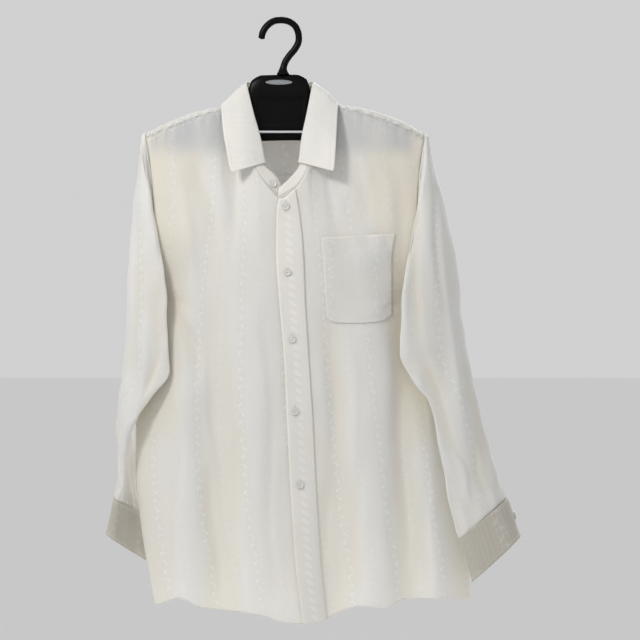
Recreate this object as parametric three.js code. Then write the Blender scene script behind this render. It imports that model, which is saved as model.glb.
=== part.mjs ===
// A long-sleeved dress shirt, buttoned on a wide moulded hanger. Millimetres: +X is the wearer's left,
// the front faces -Y, +Z is up, and the origin is the inner top of the hook, where a rail carries it.
import * as THREE from 'three';
import { mergeVertices } from 'three/addons/utils/BufferGeometryUtils.js';

// Driving dimensions
const CLOTH = 1.2; // wall of one layer of cloth
const BAND = 1.7; // wall of collar, cuffs and placket, which are layered
const SEAM = 0.45; // gap along a seam
const LAYER = 0.5; // gap between pieces that lie on each other
const TURN = 0.95; // gap along a seam where the cloth turns a corner
const UNDERARM = -392;
const FRONT_COLUMNS = 15;
const BACK_COLUMNS = 24;
const BODY_ROWS = 13; // hem to underarm
const ARMHOLE_ROWS = 8; // underarm to shoulder
const YOKE_ROWS = 8;
const BUTTON = { radius: 5.75, thick: 2.1 };

// The torso, a lens of cloth round the hanger: its side edges and the depth of its middle, by height
const TORSO = [
  { z: -120, right: -215, left: 228, front: -23, back: 30 },
  { z: -165, right: -212, left: 226, front: -35, back: 40 },
  { z: -200, right: -208, left: 224, front: -43, back: 45 },
  { z: -256, right: -205, left: 221, front: -51, back: 50 },
  { z: -330, right: -200, left: 218, front: -57, back: 54 },
  { z: UNDERARM, right: -198, left: 216, front: -60, back: 56 },
  { z: -450, right: -203, left: 222, front: -61, back: 58 },
  { z: -550, right: -212, left: 238, front: -62, back: 60 },
  { z: -650, right: -213, left: 254, front: -62, back: 62 },
  { z: -730, right: -206, left: 264, front: -63, back: 63 },
  { z: -790, right: -196, left: 275, front: -64, back: 64 },
  { z: -875, right: -181, left: 278, front: -66, back: 66 },
];
const HEM = [
  { x: -200, z: -850 }, { x: -182, z: -849 }, { x: -145, z: -838 }, { x: -112, z: -851 },
  { x: -30, z: -860 }, { x: 0, z: -870 }, { x: 30, z: -873 }, { x: 57, z: -869 }, { x: 85, z: -856 },
  { x: 115, z: -847 }, { x: 150, z: -850 }, { x: 183, z: -838 }, { x: 230, z: -838 }, { x: 280, z: -842 },
];
// Soft folds: where each starts and ends, how far it stands out (or in), and its half width
const FRONT_FOLDS = [
  { top: -300, x: -150, foot: -137, out: 9, width: 25 },
  { top: -330, x: -108, foot: -80, out: -9, width: 26 },
  { top: -300, x: -50, foot: -28, out: 6, width: 30 },
  { top: -300, x: 74, foot: 84, out: -8, width: 22 },
  { top: -330, x: 128, foot: 134, out: 8, width: 30 },
  { top: -280, x: 165, foot: 190, out: -7, width: 20 },
  { top: -460, x: 205, foot: 232, out: 8, width: 24 },
];
const BACK_FOLDS = [
  { top: -300, x: 150, foot: 175, out: 8, width: 28 },
  { top: -320, x: 92, foot: 112, out: -9, width: 26 },
  { top: -240, x: 22, foot: 46, out: 8, width: 34 },
  { top: -280, x: -50, foot: -40, out: -8, width: 26 },
  { top: -300, x: -110, foot: -112, out: 9, width: 28 },
];
// The front edge band: its free edge and its stitched edge, by height
const PLACKET = [
  { z: -240, edge: 1, seam: 20 }, { z: -281, edge: -6.5, seam: 27 }, { z: -332, edge: -7, seam: 32 },
  { z: -405, edge: -3, seam: 35 }, { z: -470, edge: 3, seam: 39 }, { z: -579, edge: 8.5, seam: 46 },
  { z: -666, edge: 13, seam: 50 }, { z: -789, edge: 21.5, seam: 58 }, { z: -873, edge: 32, seam: 67 },
];
// The neck seam, collar fold and leaf edge, from the wearer's right front round the back to the left
const COLLAR = [
  { k: 0, sx: 3, sy: -46, sz: -256, fx: 4, fy: -42, fz: -240, ex: 0, ey: 0, ez: 0 },
  { k: 1, sx: -15, sy: -48, sz: -243, fx: -8, fy: -42, fz: -220, ex: 0, ey: 0, ez: 0 },
  { k: 2, sx: -34, sy: -49, sz: -218, fx: -23, fy: -42, fz: -206, ex: -69.5, ey: -59, ez: -219 },
  { k: 3, sx: -47, sy: -41, sz: -186, fx: -31, fy: -34, fz: -170, ex: -79, ey: -51, ez: -187 },
  { k: 4, sx: -58, sy: -29, sz: -148, fx: -42, fy: -23, fz: -130, ex: -85, ey: -36, ez: -152 },
  { k: 5, sx: -63, sy: -6, sz: -119, fx: -51, fy: 0, fz: -90, ex: -88, ey: -12, ez: -120 },
  { k: 6, sx: -56, sy: 22, sz: -113, fx: -47, fy: 22, fz: -86, ex: -76, ey: 34, ez: -121 },
  { k: 7, sx: -33, sy: 40, sz: -109, fx: -30, fy: 37, fz: -86, ex: -43, ey: 55, ez: -122 },
  { k: 8, sx: -2, sy: 46, sz: -107, fx: -2, fy: 42, fz: -85, ex: -2, ey: 62, ez: -122 },
  { k: 9, sx: 29, sy: 40, sz: -109, fx: 26, fy: 37, fz: -86, ex: 39, ey: 55, ez: -121 },
  { k: 10, sx: 52, sy: 22, sz: -112, fx: 42, fy: 22, fz: -86, ex: 71, ey: 34, ez: -119 },
  { k: 11, sx: 60, sy: -6, sz: -116, fx: 46, fy: 0, fz: -89, ex: 83, ey: -12, ez: -117 },
  { k: 12, sx: 55, sy: -29, sz: -147, fx: 39, fy: -23, fz: -130, ex: 81, ey: -36, ez: -150 },
  { k: 13, sx: 46, sy: -43, sz: -186, fx: 31, fy: -36, fz: -170, ex: 79, ey: -53, ez: -187 },
  { k: 14, sx: 37, sy: -51, sz: -218, fx: 26, fy: -45, fz: -206, ex: 75, ey: -62, ez: -218 },
  { k: 15, sx: 22, sy: -52, sz: -241, fx: 11, fy: -48, fz: -226, ex: 0, ey: 0, ez: 0 },
  { k: 16, sx: -5, sy: -52, sz: -256, fx: -3, fy: -49, fz: -241, ex: 0, ey: 0, ez: 0 },
];
// The upper edge of the fronts: h runs from the wearer's right shoulder to the left
const FRONT_TOP = [
  { h: -1, x: -197, y: -18, z: -168 }, { h: -0.86, x: -172, y: -21, z: -156.5 },
  { h: -0.6, x: -118, y: -20, z: -136 }, { h: -0.44, x: -84, y: -15, z: -126 },
  { h: -0.33, x: -63, y: -7, z: -119.5 }, { h: -0.26, x: -57, y: -27, z: -148.5 },
  { h: -0.19, x: -47, y: -41, z: -186.5 }, { h: -0.13, x: -34, y: -49, z: -218.5 },
  { h: -0.06, x: -15, y: -50, z: -244 }, { h: 0, x: 0, y: -50, z: -257 },
  { h: 0.08, x: 22, y: -50, z: -241.5 }, { h: 0.14, x: 37, y: -49, z: -218.5 },
  { h: 0.2, x: 46, y: -41, z: -186.5 }, { h: 0.27, x: 54, y: -27, z: -147.5 },
  { h: 0.33, x: 60, y: -7, z: -116.5 }, { h: 0.44, x: 83, y: -15, z: -123 },
  { h: 0.6, x: 120, y: -20, z: -133 }, { h: 0.86, x: 180, y: -21, z: -154 },
  { h: 1, x: 208, y: -18, z: -169.5 },
];
// Columns of the yoke from the wearer's right armhole to the left: the seam on the back, and how the
// cloth leaves the front (or neck) seam and comes down to the back one
const YOKE = [
  { u: 0, x: -192, y: 40, z: -228, upY: 7, upZ: 20, downY: -4, downZ: 62 },
  { u: 0.16, x: -150, y: 43, z: -225, upY: 8, upZ: 23, downY: -6, downZ: 78 },
  { u: 0.3, x: -108, y: 46, z: -222, upY: 22, upZ: 9, downY: -6, downZ: 70 },
  { u: 0.38, x: -72, y: 49, z: -221, upY: 10, upZ: -14, downY: -2, downZ: 45 },
  { u: 0.5, x: 5, y: 51, z: -220, upY: 6, upZ: -30, downY: 0, downZ: 36 },
  { u: 0.62, x: 82, y: 49, z: -221, upY: 10, upZ: -14, downY: -2, downZ: 45 },
  { u: 0.7, x: 118, y: 46, z: -222, upY: 21, upZ: 4, downY: -6, downZ: 70 },
  { u: 0.84, x: 160, y: 43, z: -225, upY: 8, upZ: 23, downY: -6, downZ: 78 },
  { u: 1, x: 202, y: 40, z: -229, upY: 7, upZ: 20, downY: -4, downZ: 62 },
];
// Hanging sleeves: a flattened tube bent round the torso's side. f is its front edge, c the corner that
// its middle bends towards, b its back edge; thick is half its thickness, tilt the slope of a section
const SLEEVE_RIGHT = [
  { z: -420, fx: -165, fy: -58, cx: -240, cy: -42, bx: -208, by: 52, thick: 8, tilt: 0 },
  { z: -470, fx: -163, fy: -58, cx: -245, cy: -42, bx: -212, by: 54, thick: 8, tilt: 0 },
  { z: -506, fx: -161, fy: -57, cx: -247, cy: -40, bx: -216, by: 56, thick: 8, tilt: 0 },
  { z: -545, fx: -187, fy: -52, cx: -250, cy: -25, bx: -222, by: 62, thick: 8, tilt: 0 },
  { z: -586, fx: -216, fy: -42, cx: -250, cy: 0, bx: -222, by: 66, thick: 7.5, tilt: 0 },
  { z: -620, fx: -226, fy: -30, cx: -244, cy: 15, bx: -218, by: 68, thick: 7, tilt: 0 },
  { z: -665, fx: -229, fy: -22, cx: -241, cy: 20, bx: -215, by: 68, thick: 7, tilt: -0.3 },
  { z: -714, fx: -239, fy: -18, cx: -236, cy: 25, bx: -207, by: 70, thick: 9, tilt: -0.69 },
  { z: -776, fx: -252, fy: -18, cx: -240, cy: 25, bx: -203, by: 74, thick: 11, tilt: -0.79 },
];
const SLEEVE_LEFT = [
  { z: -420, fx: 176, fy: -60, cx: 276, cy: -46, bx: 250, by: 46, thick: 8.5, tilt: 0 },
  { z: -484, fx: 172, fy: -60, cx: 294, cy: -48, bx: 256, by: 44, thick: 9, tilt: 0 },
  { z: -515, fx: 188, fy: -60, cx: 300, cy: -48, bx: 260, by: 42, thick: 9, tilt: 0 },
  { z: -550, fx: 213, fy: -60, cx: 306, cy: -50, bx: 268, by: 38, thick: 8.5, tilt: 0 },
  { z: -618, fx: 232, fy: -58, cx: 322, cy: -50, bx: 285, by: 30, thick: 8, tilt: 0.1 },
  { z: -665, fx: 242, fy: -58, cx: 334, cy: -52, bx: 300, by: 22, thick: 8, tilt: 0.4 },
  { z: -706, fx: 258, fy: -60, cx: 336, cy: -52, bx: 314, by: 22, thick: 10, tilt: 0.79 },
  { z: -765, fx: 276, fy: -62, cx: 352, cy: -54, bx: 332, by: 22, thick: 12, tilt: 0.88 },
];
const SLEEVE_FALL = [-440, -462, -484, -506, -526, -546, -568, -592, -618, -645, -668, -688];
const HANG = [0, 0.09, 0.19, 0.3, 0.42, 0.55, 0.68, 0.84, 1]; // rows from the armhole to the first section
const CUFF = { right: [-713, -776], left: [-705, -765], turns: 27, overlap: 2 };
const POCKET = {
  left: [{ z: -310, x: 58 }, { z: -440, x: 67 }],
  right: [{ z: -306, x: 165 }, { z: -345, x: 160 }, { z: -440, x: 160 }],
  top: [{ x: 50, z: -315 }, { x: 170, z: -308 }],
  foot: [{ x: 66, z: -431 }, { x: 76, z: -437 }, { x: 112, z: -438 }, { x: 146, z: -435 }, { x: 160, z: -425 }],
};
const FRONT_BUTTONS = [[6.7, -268.8], [9.3, -364], [16.4, -461], [20.3, -565.5], [27.6, -671.4]];
// The hanger: its upper and lower edge and half its thickness, along its length
const HANGER = [
  { x: -187, top: -170, foot: -188, half: 8 }, { x: -178, top: -164, foot: -190, half: 12 },
  { x: -150, top: -153, foot: -188, half: 12.5 }, { x: -118, top: -142.5, foot: -184, half: 11.5 },
  { x: -84, top: -133, foot: -179, half: 10.5 }, { x: -64, top: -127, foot: -176, half: 10 },
  { x: -53, top: -122, foot: -174, half: 8.5 }, { x: -48.5, top: -110, foot: -174, half: 8 },
  { x: -45.5, top: -96, foot: -173, half: 8 }, { x: -40, top: -83, foot: -173, half: 9 },
  { x: -27, top: -75.5, foot: -172, half: 10 }, { x: 21, top: -74.5, foot: -171, half: 10 },
  { x: 34, top: -81, foot: -172, half: 9 }, { x: 39.5, top: -95, foot: -173, half: 8 },
  { x: 42.5, top: -109, foot: -173, half: 8 }, { x: 47.5, top: -120, foot: -175, half: 8.5 },
  { x: 62, top: -125, foot: -177, half: 10 }, { x: 82, top: -131, foot: -179, half: 10.5 },
  { x: 120, top: -140.5, foot: -184, half: 11.5 }, { x: 158, top: -152, foot: -188, half: 12.5 },
  { x: 190, top: -165, foot: -191, half: 12 }, { x: 198, top: -171, foot: -189, half: 8 },
];
const HOOK_ROD = 5;
const HOOK = [
  [-29, -23], [-27.5, -14], [-21, -3.5], [-11, 3.5], [0, 5], [11, 3], [20.5, -4], [25, -15], [25, -27],
  [20, -37], [11, -48], [5, -58], [3, -66], [2.6, -74.2],
];

const vec = (x, y, z) => new THREE.Vector3(x, y, z);
const mix = (a, b, t) => a + (b - a) * t;
const clamp = THREE.MathUtils.clamp;

// Smooth values between the rows of a table, by the named column, which never overshoot a row
function through(rows, key) {
  const sorted = [...rows].sort((a, b) => a[key] - b[key]);
  const names = Object.keys(sorted[0]).filter((name) => name !== key);
  const steps = sorted.slice(1).map((row, i) => row[key] - sorted[i][key]);
  const rise = (name, i) => (sorted[i + 1][name] - sorted[i][name]) / steps[i];
  function slope(name, i) {
    if (i === 0) return rise(name, 0);
    if (i === steps.length) return rise(name, i - 1);
    const before = rise(name, i - 1);
    const after = rise(name, i);
    return before * after <= 0 ? 0 : (2 * before * after) / (before + after);
  }
  return (at) => {
    let i = 0;
    while (i < steps.length - 1 && at > sorted[i + 1][key]) i += 1;
    const t = clamp((at - sorted[i][key]) / steps[i], 0, 1);
    const ease = t * t * (3 - 2 * t);
    const out = {};
    for (const name of names) {
      out[name] = mix(sorted[i][name], sorted[i + 1][name], ease)
        + steps[i] * (t * (1 - t) ** 2 * slope(name, i) - t * t * (1 - t) * slope(name, i + 1));
    }
    return out;
  };
}

// A closed mesh from points and the corner numbers of its triangles
function solid(points, corners) {
  const geometry = new THREE.BufferGeometry();
  geometry.setAttribute('position', new THREE.Float32BufferAttribute(points.flatMap((p) => p.toArray()), 3));
  geometry.setIndex(corners);
  return geometry;
}

function normalAt(grid, r, c, round, flip) {
  const last = grid[0].length;
  const at = (i, j) => grid[clamp(i, 0, grid.length - 1)][round ? (j + last) % last : clamp(j, 0, last - 1)];
  const along = at(r, c + 1).clone().sub(at(r, c - 1));
  const up = at(r + 1, c).clone().sub(at(r - 1, c));
  return along.cross(up).normalize().multiplyScalar(flip ? -1 : 1);
}

// A wall of cloth: grid[row][column] is its outer face. A round one joins its last column to its first
function wall(grid, thickness, { round = false, flip = false, keep = (p) => p } = {}) {
  const rows = grid.length;
  const columns = grid[0].length;
  const outer = grid.flat();
  const inner = grid.flatMap((row, r) => row.map((p, c) => (
    keep(p.clone().addScaledVector(normalAt(grid, r, c, round, flip), -thickness)))));
  const id = (r, c, inside) => inside * outer.length + r * columns + (c % columns);
  const corners = [];
  const quad = (a, b, c, d) => corners.push(...(flip ? [a, c, b, a, d, c] : [a, b, c, a, c, d]));
  const last = round ? columns : columns - 1;
  for (let r = 0; r < rows - 1; r += 1) {
    for (let c = 0; c < last; c += 1) {
      quad(id(r, c, 0), id(r, c + 1, 0), id(r + 1, c + 1, 0), id(r + 1, c, 0));
      quad(id(r, c, 1), id(r + 1, c, 1), id(r + 1, c + 1, 1), id(r, c + 1, 1));
    }
    if (!round) {
      quad(id(r, 0, 0), id(r + 1, 0, 0), id(r + 1, 0, 1), id(r, 0, 1));
      quad(id(r + 1, last, 0), id(r, last, 0), id(r, last, 1), id(r + 1, last, 1));
    }
  }
  for (let c = 0; c < last; c += 1) {
    quad(id(0, c + 1, 0), id(0, c, 0), id(0, c, 1), id(0, c + 1, 1));
    quad(id(rows - 1, c, 0), id(rows - 1, c + 1, 0), id(rows - 1, c + 1, 1), id(rows - 1, c, 1));
  }
  return solid([...outer, ...inner], corners);
}

const range = (count, make) => Array.from({ length: count }, (_, i) => make(i));

// The torso
const torso = through(TORSO, 'z');
const hem = through(HEM, 'x');
const frontTop = through(FRONT_TOP, 'h');
const yokeColumn = through(YOKE, 'u');
const collar = through(COLLAR, 'k');
const placket = through(PLACKET, 'z');
const across = (h) => 0.45 * h + 0.55 * Math.sin((Math.PI * h) / 2);
const lens = (x) => (1 - Math.min(1, Math.abs(x)) ** 2.4) ** 0.6;

function foldsAt(folds, x, z) {
  let out = 0;
  for (const fold of folds) {
    const down = clamp((fold.top - z) / (fold.top + 860), 0, 1);
    const middle = mix(fold.x, fold.foot, down);
    out += fold.out * Math.min(1, down * 2.2) * Math.exp(-(((x - middle) / fold.width) ** 2));
  }
  return out;
}

// A point of the torso below the underarm: h from the wearer's right side to the left, v from hem to underarm
function skirtPoint(h, v, side) {
  const guess = torso(mix(-856, UNDERARM, v));
  const z = mix(hem(mix(guess.right, guess.left, (1 + across(h)) / 2)).z, UNDERARM, v);
  const here = torso(z);
  const x = mix(here.right, here.left, (1 + across(h)) / 2);
  const bulge = lens(across(h));
  const folds = side === 'front' ? -foldsAt(FRONT_FOLDS, x, z) : foldsAt(BACK_FOLDS, x, z);
  return vec(x, here[side] * bulge + folds * Math.min(1, bulge * 1.6), z);
}

// The armhole edge of a front or back, from the underarm up to the shoulder
function armhole(side, end, w) {
  const low = skirtPoint(end, 1, side);
  const high = side === 'front' ? frontTop(end) : yokeColumn((end + 1) / 2);
  const way = side === 'front' ? -1 : 1;
  const inward = -end * 26;
  return new THREE.CubicBezierCurve3(
    low,
    vec(low.x + end * 3, way * 46, low.z + 5),
    vec(high.x + inward, way * 54, side === 'front' ? -300 : -330),
    vec(high.x, high.y, high.z),
  ).getPoint(w);
}

// A point of the upper front or back, between the underarm (w = 0) and its top seam (w = 1)
function chestPoint(h, w, side) {
  const s = (h + 1) / 2;
  const low = skirtPoint(h, 1, side);
  const high = side === 'front' ? frontTop(h) : yokeColumn(s);
  const [right, left] = [armhole(side, -1, w), armhole(side, 1, w)];
  const feet = [armhole(side, -1, 0), armhole(side, 1, 0)];
  const tops = [armhole(side, -1, 1), armhole(side, 1, 1)];
  const risen = mix((right.z - feet[0].z) / (tops[0].z - feet[0].z), (left.z - feet[1].z) / (tops[1].z - feet[1].z), s);
  const patch = (axis) => mix(low[axis], high[axis], risen) + mix(right[axis], left[axis], s)
    - mix(mix(feet[0][axis], feet[1][axis], s), mix(tops[0][axis], tops[1][axis], s), risen);
  const [x, z] = [patch('x'), patch('z')];
  const edge = mix(right.y, left.y, s);
  const folds = side === 'front' ? -foldsAt(FRONT_FOLDS, x, z) : foldsAt(BACK_FOLDS, x, z);
  const opened = THREE.MathUtils.smoothstep(risen, 0, 0.4); // the section is fuller beside the armhole
  const bulge = lens(across(h)) ** mix(1, 0.7, opened);
  const pull = (1 - bulge) * mix(Math.abs(h) ** 5, 1, opened);
  const hung = torso(z)[side] * bulge + edge * pull + folds * Math.min(1, bulge * 1.6);
  return vec(x, mix(hung, high.y, w ** 3), z);
}

const torsoPoint = (h, v, side) => (v <= 1 ? skirtPoint(h, v, side) : chestPoint(h, v - 1, side));
const BODY_V = [
  ...range(BODY_ROWS, (i) => i / BODY_ROWS),
  ...range(ARMHOLE_ROWS + 1, (i) => 1 + i / ARMHOLE_ROWS),
];

// Where the front reaches a line x = line(z) on row v
function frontAcross(v, line) {
  let [low, high] = [-0.9, 0.9];
  for (let i = 0; i < 30; i += 1) {
    const h = (low + high) / 2;
    const p = torsoPoint(h, v, 'front');
    if (p.x < line(p.z)) low = h;
    else high = h;
  }
  return (low + high) / 2;
}

const LAP = CLOTH + 1.3; // how far the wearer's left front stands before the right one
const overlapLift = (h) => LAP * (1 - THREE.MathUtils.smoothstep(h, 0.24, 0.5));
const seamed = (grid) => grid.map((row, r) => row.map((p) => {
  if (r < grid.length - 1) return p;
  return p.clone().add(vec(0, 0, -TURN));
}));

const frontRightGrid = seamed(BODY_V.map((v) => {
  const edge = frontAcross(v, (z) => placket(z).seam - 5);
  return range(FRONT_COLUMNS + 1, (c) => {
    const p = torsoPoint(mix(-1, edge, c / FRONT_COLUMNS), v, 'front');
    return p.add(vec(0, -SEAM / 2, 0));
  });
}));

const frontLeftGrid = seamed(BODY_V.map((v) => {
  const free = frontAcross(v, (z) => placket(z).edge + 0.8);
  const stitched = frontAcross(v, (z) => placket(z).seam);
  const columns = [free, (free + stitched) / 2, stitched];
  const rest = FRONT_COLUMNS - 2;
  columns.push(...range(rest, (c) => mix(stitched, 1, (c + 1) / rest)));
  return columns.map((h) => torsoPoint(h, v, 'front').add(vec(0, -SEAM / 2 - overlapLift(h), 0)));
}));

const backGrid = seamed(BODY_V.map((v) => range(BACK_COLUMNS + 1, (c) => (
  torsoPoint(1 - (2 * c) / BACK_COLUMNS, v, 'back').add(vec(0, SEAM / 2, 0))))));

// A point on a grid between its rows and columns
function onGrid(grid, r, c) {
  const [i, j] = [Math.min(Math.floor(r), grid.length - 2), Math.min(Math.floor(c), grid[0].length - 2)];
  const low = grid[i][j].clone().lerp(grid[i][j + 1], c - j);
  const high = grid[i + 1][j].clone().lerp(grid[i + 1][j + 1], c - j);
  return low.lerp(high, r - i);
}

// The same grid moved out from the cloth that it lies on
function movedOut(grid, out) {
  return grid.map((row, r) => row.map((p, c) => p.clone().addScaledVector(normalAt(grid, r, c, false, false), out)));
}

const placketGrid = movedOut(frontLeftGrid.map((row) => row.slice(0, 3)), LAYER + BAND)
  .map((row) => row.map((p, c) => (c === 0 ? p.clone().add(vec(-0.8, 0, 0)) : p)));

// Where a line of grid points crosses a test that changes sign
function crossing(count, pointAt, test) {
  for (let i = 0; i < count; i += 1) {
    const [a, b] = [test(pointAt(i)), test(pointAt(i + 1))];
    if (a * b <= 0) return i + a / (a - b);
  }
  return 0;
}

// The pocket lies on the wearer's left front, on the same rows and columns
const pocketLine = Object.fromEntries(['left', 'right'].map((name) => [name, through(POCKET[name], 'z')]));
const pocketEnd = Object.fromEntries(['top', 'foot'].map((name) => [name, through(POCKET[name], 'x')]));
function pocketGrid() {
  const grid = frontLeftGrid;
  const columnOf = (r, name) => crossing(FRONT_COLUMNS, (c) => onGrid(grid, r, c), (p) => p.x - pocketLine[name](p.z).x);
  const rowOf = (c, name) => crossing(grid.length - 1, (r) => onGrid(grid, r, c), (p) => p.z - pocketEnd[name](p.x).z);
  const middle = rowOf(8, 'foot');
  const firstColumns = [columnOf(middle + 1, 'left'), columnOf(middle + 1, 'right')];
  const inner = range(Math.ceil(firstColumns[1]) - Math.floor(firstColumns[0]) - 1, (i) => Math.floor(firstColumns[0]) + 1 + i);
  const [foot, top] = [rowOf(inner[1], 'foot'), rowOf(inner[1], 'top')];
  const rows = [foot, ...range(Math.ceil(top) - Math.floor(foot) - 1, (i) => Math.floor(foot) + 1 + i), top];
  return rows.map((_, i) => {
    const end = { 0: 'foot', [rows.length - 1]: 'top' }[i];
    const rowAt = (c) => (end ? rowOf(c, end) : rows[i]);
    const side = (name, start) => {
      let c = start;
      for (let n = 0; n < 3; n += 1) c = columnOf(rowAt(c), name);
      return c;
    };
    return [side('left', firstColumns[0]), ...inner, side('right', firstColumns[1])].map((c) => {
      const r = rowAt(c);
      const out = normalAt(grid, Math.round(r), Math.round(c), false, false);
      return onGrid(grid, r, c).addScaledVector(out, LAYER + CLOTH + 0.2);
    });
  });
}

// The yoke: columns from the wearer's right armhole to the left; row 0 is its seam on the back
const NECK_SHARE = [0.3, 0.7];
const YOKE_U = [0, 0.06, 0.12, 0.18, 0.24, 0.3, 0.35, 0.4, 0.45, 0.5, 0.55, 0.6, 0.65, 0.7, 0.76, 0.82, 0.88, 0.94, 1];
function yokeStart(u) {
  if (u <= NECK_SHARE[0]) return frontTop(mix(-1, -0.33, u / NECK_SHARE[0]));
  if (u >= NECK_SHARE[1]) return frontTop(mix(0.33, 1, (u - NECK_SHARE[1]) / (1 - NECK_SHARE[1])));
  const seam = collar(mix(5, 11, (u - NECK_SHARE[0]) / (NECK_SHARE[1] - NECK_SHARE[0])));
  return { x: seam.sx, y: seam.sy, z: seam.sz };
}
const yokeGrid = range(YOKE_ROWS + 1, (r) => YOKE_U.map((u) => {
  const start = yokeStart(u);
  const foot = yokeColumn(u);
  return new THREE.CubicBezierCurve3(
    vec(foot.x, foot.y + SEAM / 2, foot.z + SEAM / 2),
    vec(foot.x, foot.y + foot.downY, foot.z + foot.downZ),
    vec(start.x, start.y + foot.upY, start.z + foot.upZ),
    vec(start.x, start.y + TURN, start.z + TURN),
  ).getPoint(r / YOKE_ROWS);
})).map((row) => row.reverse());

// The collar: its stand rises from the neck seam, and its leaf turns over the fold and lies outside it
const STAND = { from: 0.085, to: 0.86, columns: 32, rows: 2 };
const LEAF = { from: 2, to: 14, columns: 26, rows: 5, over: BAND + 0.7, roll: 5.5, lie: 3, lip: 1.2 };
const seamAt = (c) => vec(c.sx, c.sy, c.sz);
const foldAt = (c) => vec(c.fx, c.fy, c.fz);
const edgeAt = (c) => vec(c.ex, c.ey, c.ez);
const standGrid = range(STAND.rows + 1, (r) => range(STAND.columns + 1, (i) => {
  const c = collar((16 * i) / STAND.columns);
  return seamAt(c).lerp(foldAt(c), mix(STAND.from, STAND.to, r / STAND.rows)).add(vec(0, 0, SEAM));
}));
const leafGrid = range(LEAF.rows + 1, (r) => range(LEAF.columns + 1, (i) => {
  const k = mix(LEAF.from, LEAF.to, i / LEAF.columns);
  const c = collar(k);
  const [fold, edge] = [foldAt(c), edgeAt(c)];
  const along = foldAt(collar(k + 0.2)).sub(foldAt(collar(k - 0.2)));
  const up = fold.clone().sub(edge);
  const out = up.clone().cross(along).normalize();
  return new THREE.CubicBezierCurve3(
    edge,
    edge.clone().lerp(fold, 0.4).addScaledVector(out, LEAF.lie),
    fold.clone().lerp(edge, 0.25).addScaledVector(out, LEAF.roll),
    fold.clone().addScaledVector(out, LEAF.over).addScaledVector(up.normalize(), LEAF.lip),
  ).getPoint(r / LEAF.rows);
}));

// The sleeves hang from the armhole's loop of edge points and run down to the cuff
function sectionPoint(row, angle) {
  const along = (1 + Math.cos(angle)) / 2;
  const bend = new THREE.QuadraticBezierCurve3(
    vec(row.bx, row.by, row.z), vec(row.cx, row.cy, row.z), vec(row.fx, row.fy, row.z),
  );
  const side = Math.sign(row.cx);
  const p = bend.getPoint(along);
  const way = bend.getTangent(along);
  const out = Math.sign(Math.sin(angle)) * Math.abs(Math.sin(angle)) ** 0.7 * row.thick * side;
  p.x -= way.y * out;
  p.y += way.x * out;
  p.z += row.tilt * (p.x - row.cx + side * 22);
  return p;
}

// Edge points of the armhole with the way the cloth runs out of them, from the underarm up the front
function armholeLoop(side) {
  const front = side < 0 ? frontRightGrid : frontLeftGrid;
  const end = side < 0 ? 0 : FRONT_COLUMNS;
  const backEnd = side < 0 ? BACK_COLUMNS : 0;
  const yokeEnd = side < 0 ? YOKE_U.length - 1 : 0;
  const inward = (c) => (c === 0 ? 1 : c - 1);
  const edge = (grid, r, c) => ({ p: grid[r][c], way: grid[r][c].clone().sub(grid[r][inward(c)]).normalize() });
  const loop = range(ARMHOLE_ROWS, (i) => edge(front, BODY_ROWS + i, end));
  loop.push(...range(YOKE_ROWS, (i) => edge(yokeGrid, YOKE_ROWS - i, yokeEnd)));
  loop.push(...range(ARMHOLE_ROWS, (i) => edge(backGrid, BODY_ROWS + ARMHOLE_ROWS - i, backEnd)));
  loop[0].way = vec(side, 0, 0);
  return loop;
}

function sleeveGrid(side, table) {
  const loop = armholeLoop(side);
  const section = through(table, 'z');
  const angleOf = (i) => -Math.PI / 2 + (2 * Math.PI * i) / loop.length;
  const first = { ...section(-420), z: -420 };
  const hang = HANG.map((t) => loop.map(({ p, way }, i) => {
    const angle = angleOf(i);
    const start = p.clone().addScaledVector(way, TURN);
    const end = sectionPoint(first, angle);
    const drop = start.z - end.z;
    return new THREE.CubicBezierCurve3(
      start,
      start.clone().addScaledVector(way, 5 + drop * 0.035).add(vec(0, 0, -drop * 0.02)),
      end.clone().add(vec(-side * 1.5 * Math.max(0, Math.cos(angle)), -4 * Math.cos(angle), drop * 0.45)),
      end,
    ).getPoint(t);
  }));
  const fall = SLEEVE_FALL.map((z) => loop.map((_, i) => sectionPoint({ ...section(z), z }, angleOf(i))));
  const cuffTop = CUFF[side < 0 ? 'right' : 'left'][0] + TURN;
  const last = loop.map((_, i) => sectionPoint({ ...section(cuffTop), z: cuffTop }, angleOf(i)));
  return [...hang, ...fall, last].reverse();
}

function cuffGrid(side, table) {
  const section = through(table, 'z');
  const [top, foot] = CUFF[side < 0 ? 'right' : 'left'];
  const turn = CUFF.turns - CUFF.overlap - 1;
  return range(4, (r) => range(CUFF.turns, (i) => {
    const z = mix(foot, top, r / 3);
    const angle = (Math.PI * 7) / 12 + side * ((2 * Math.PI * i) / turn);
    const lift = (BAND + LAYER + 0.3) * THREE.MathUtils.smoothstep(i, turn - 5, turn - 0.5);
    const row = { ...section(z), z };
    return sectionPoint(row, angle)
      .lerp(sectionPoint({ ...row, thick: row.thick + 10 }, angle), (lift / 10) / Math.max(0.35, Math.abs(Math.sin(angle)) ** 0.7));
  }));
}

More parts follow.
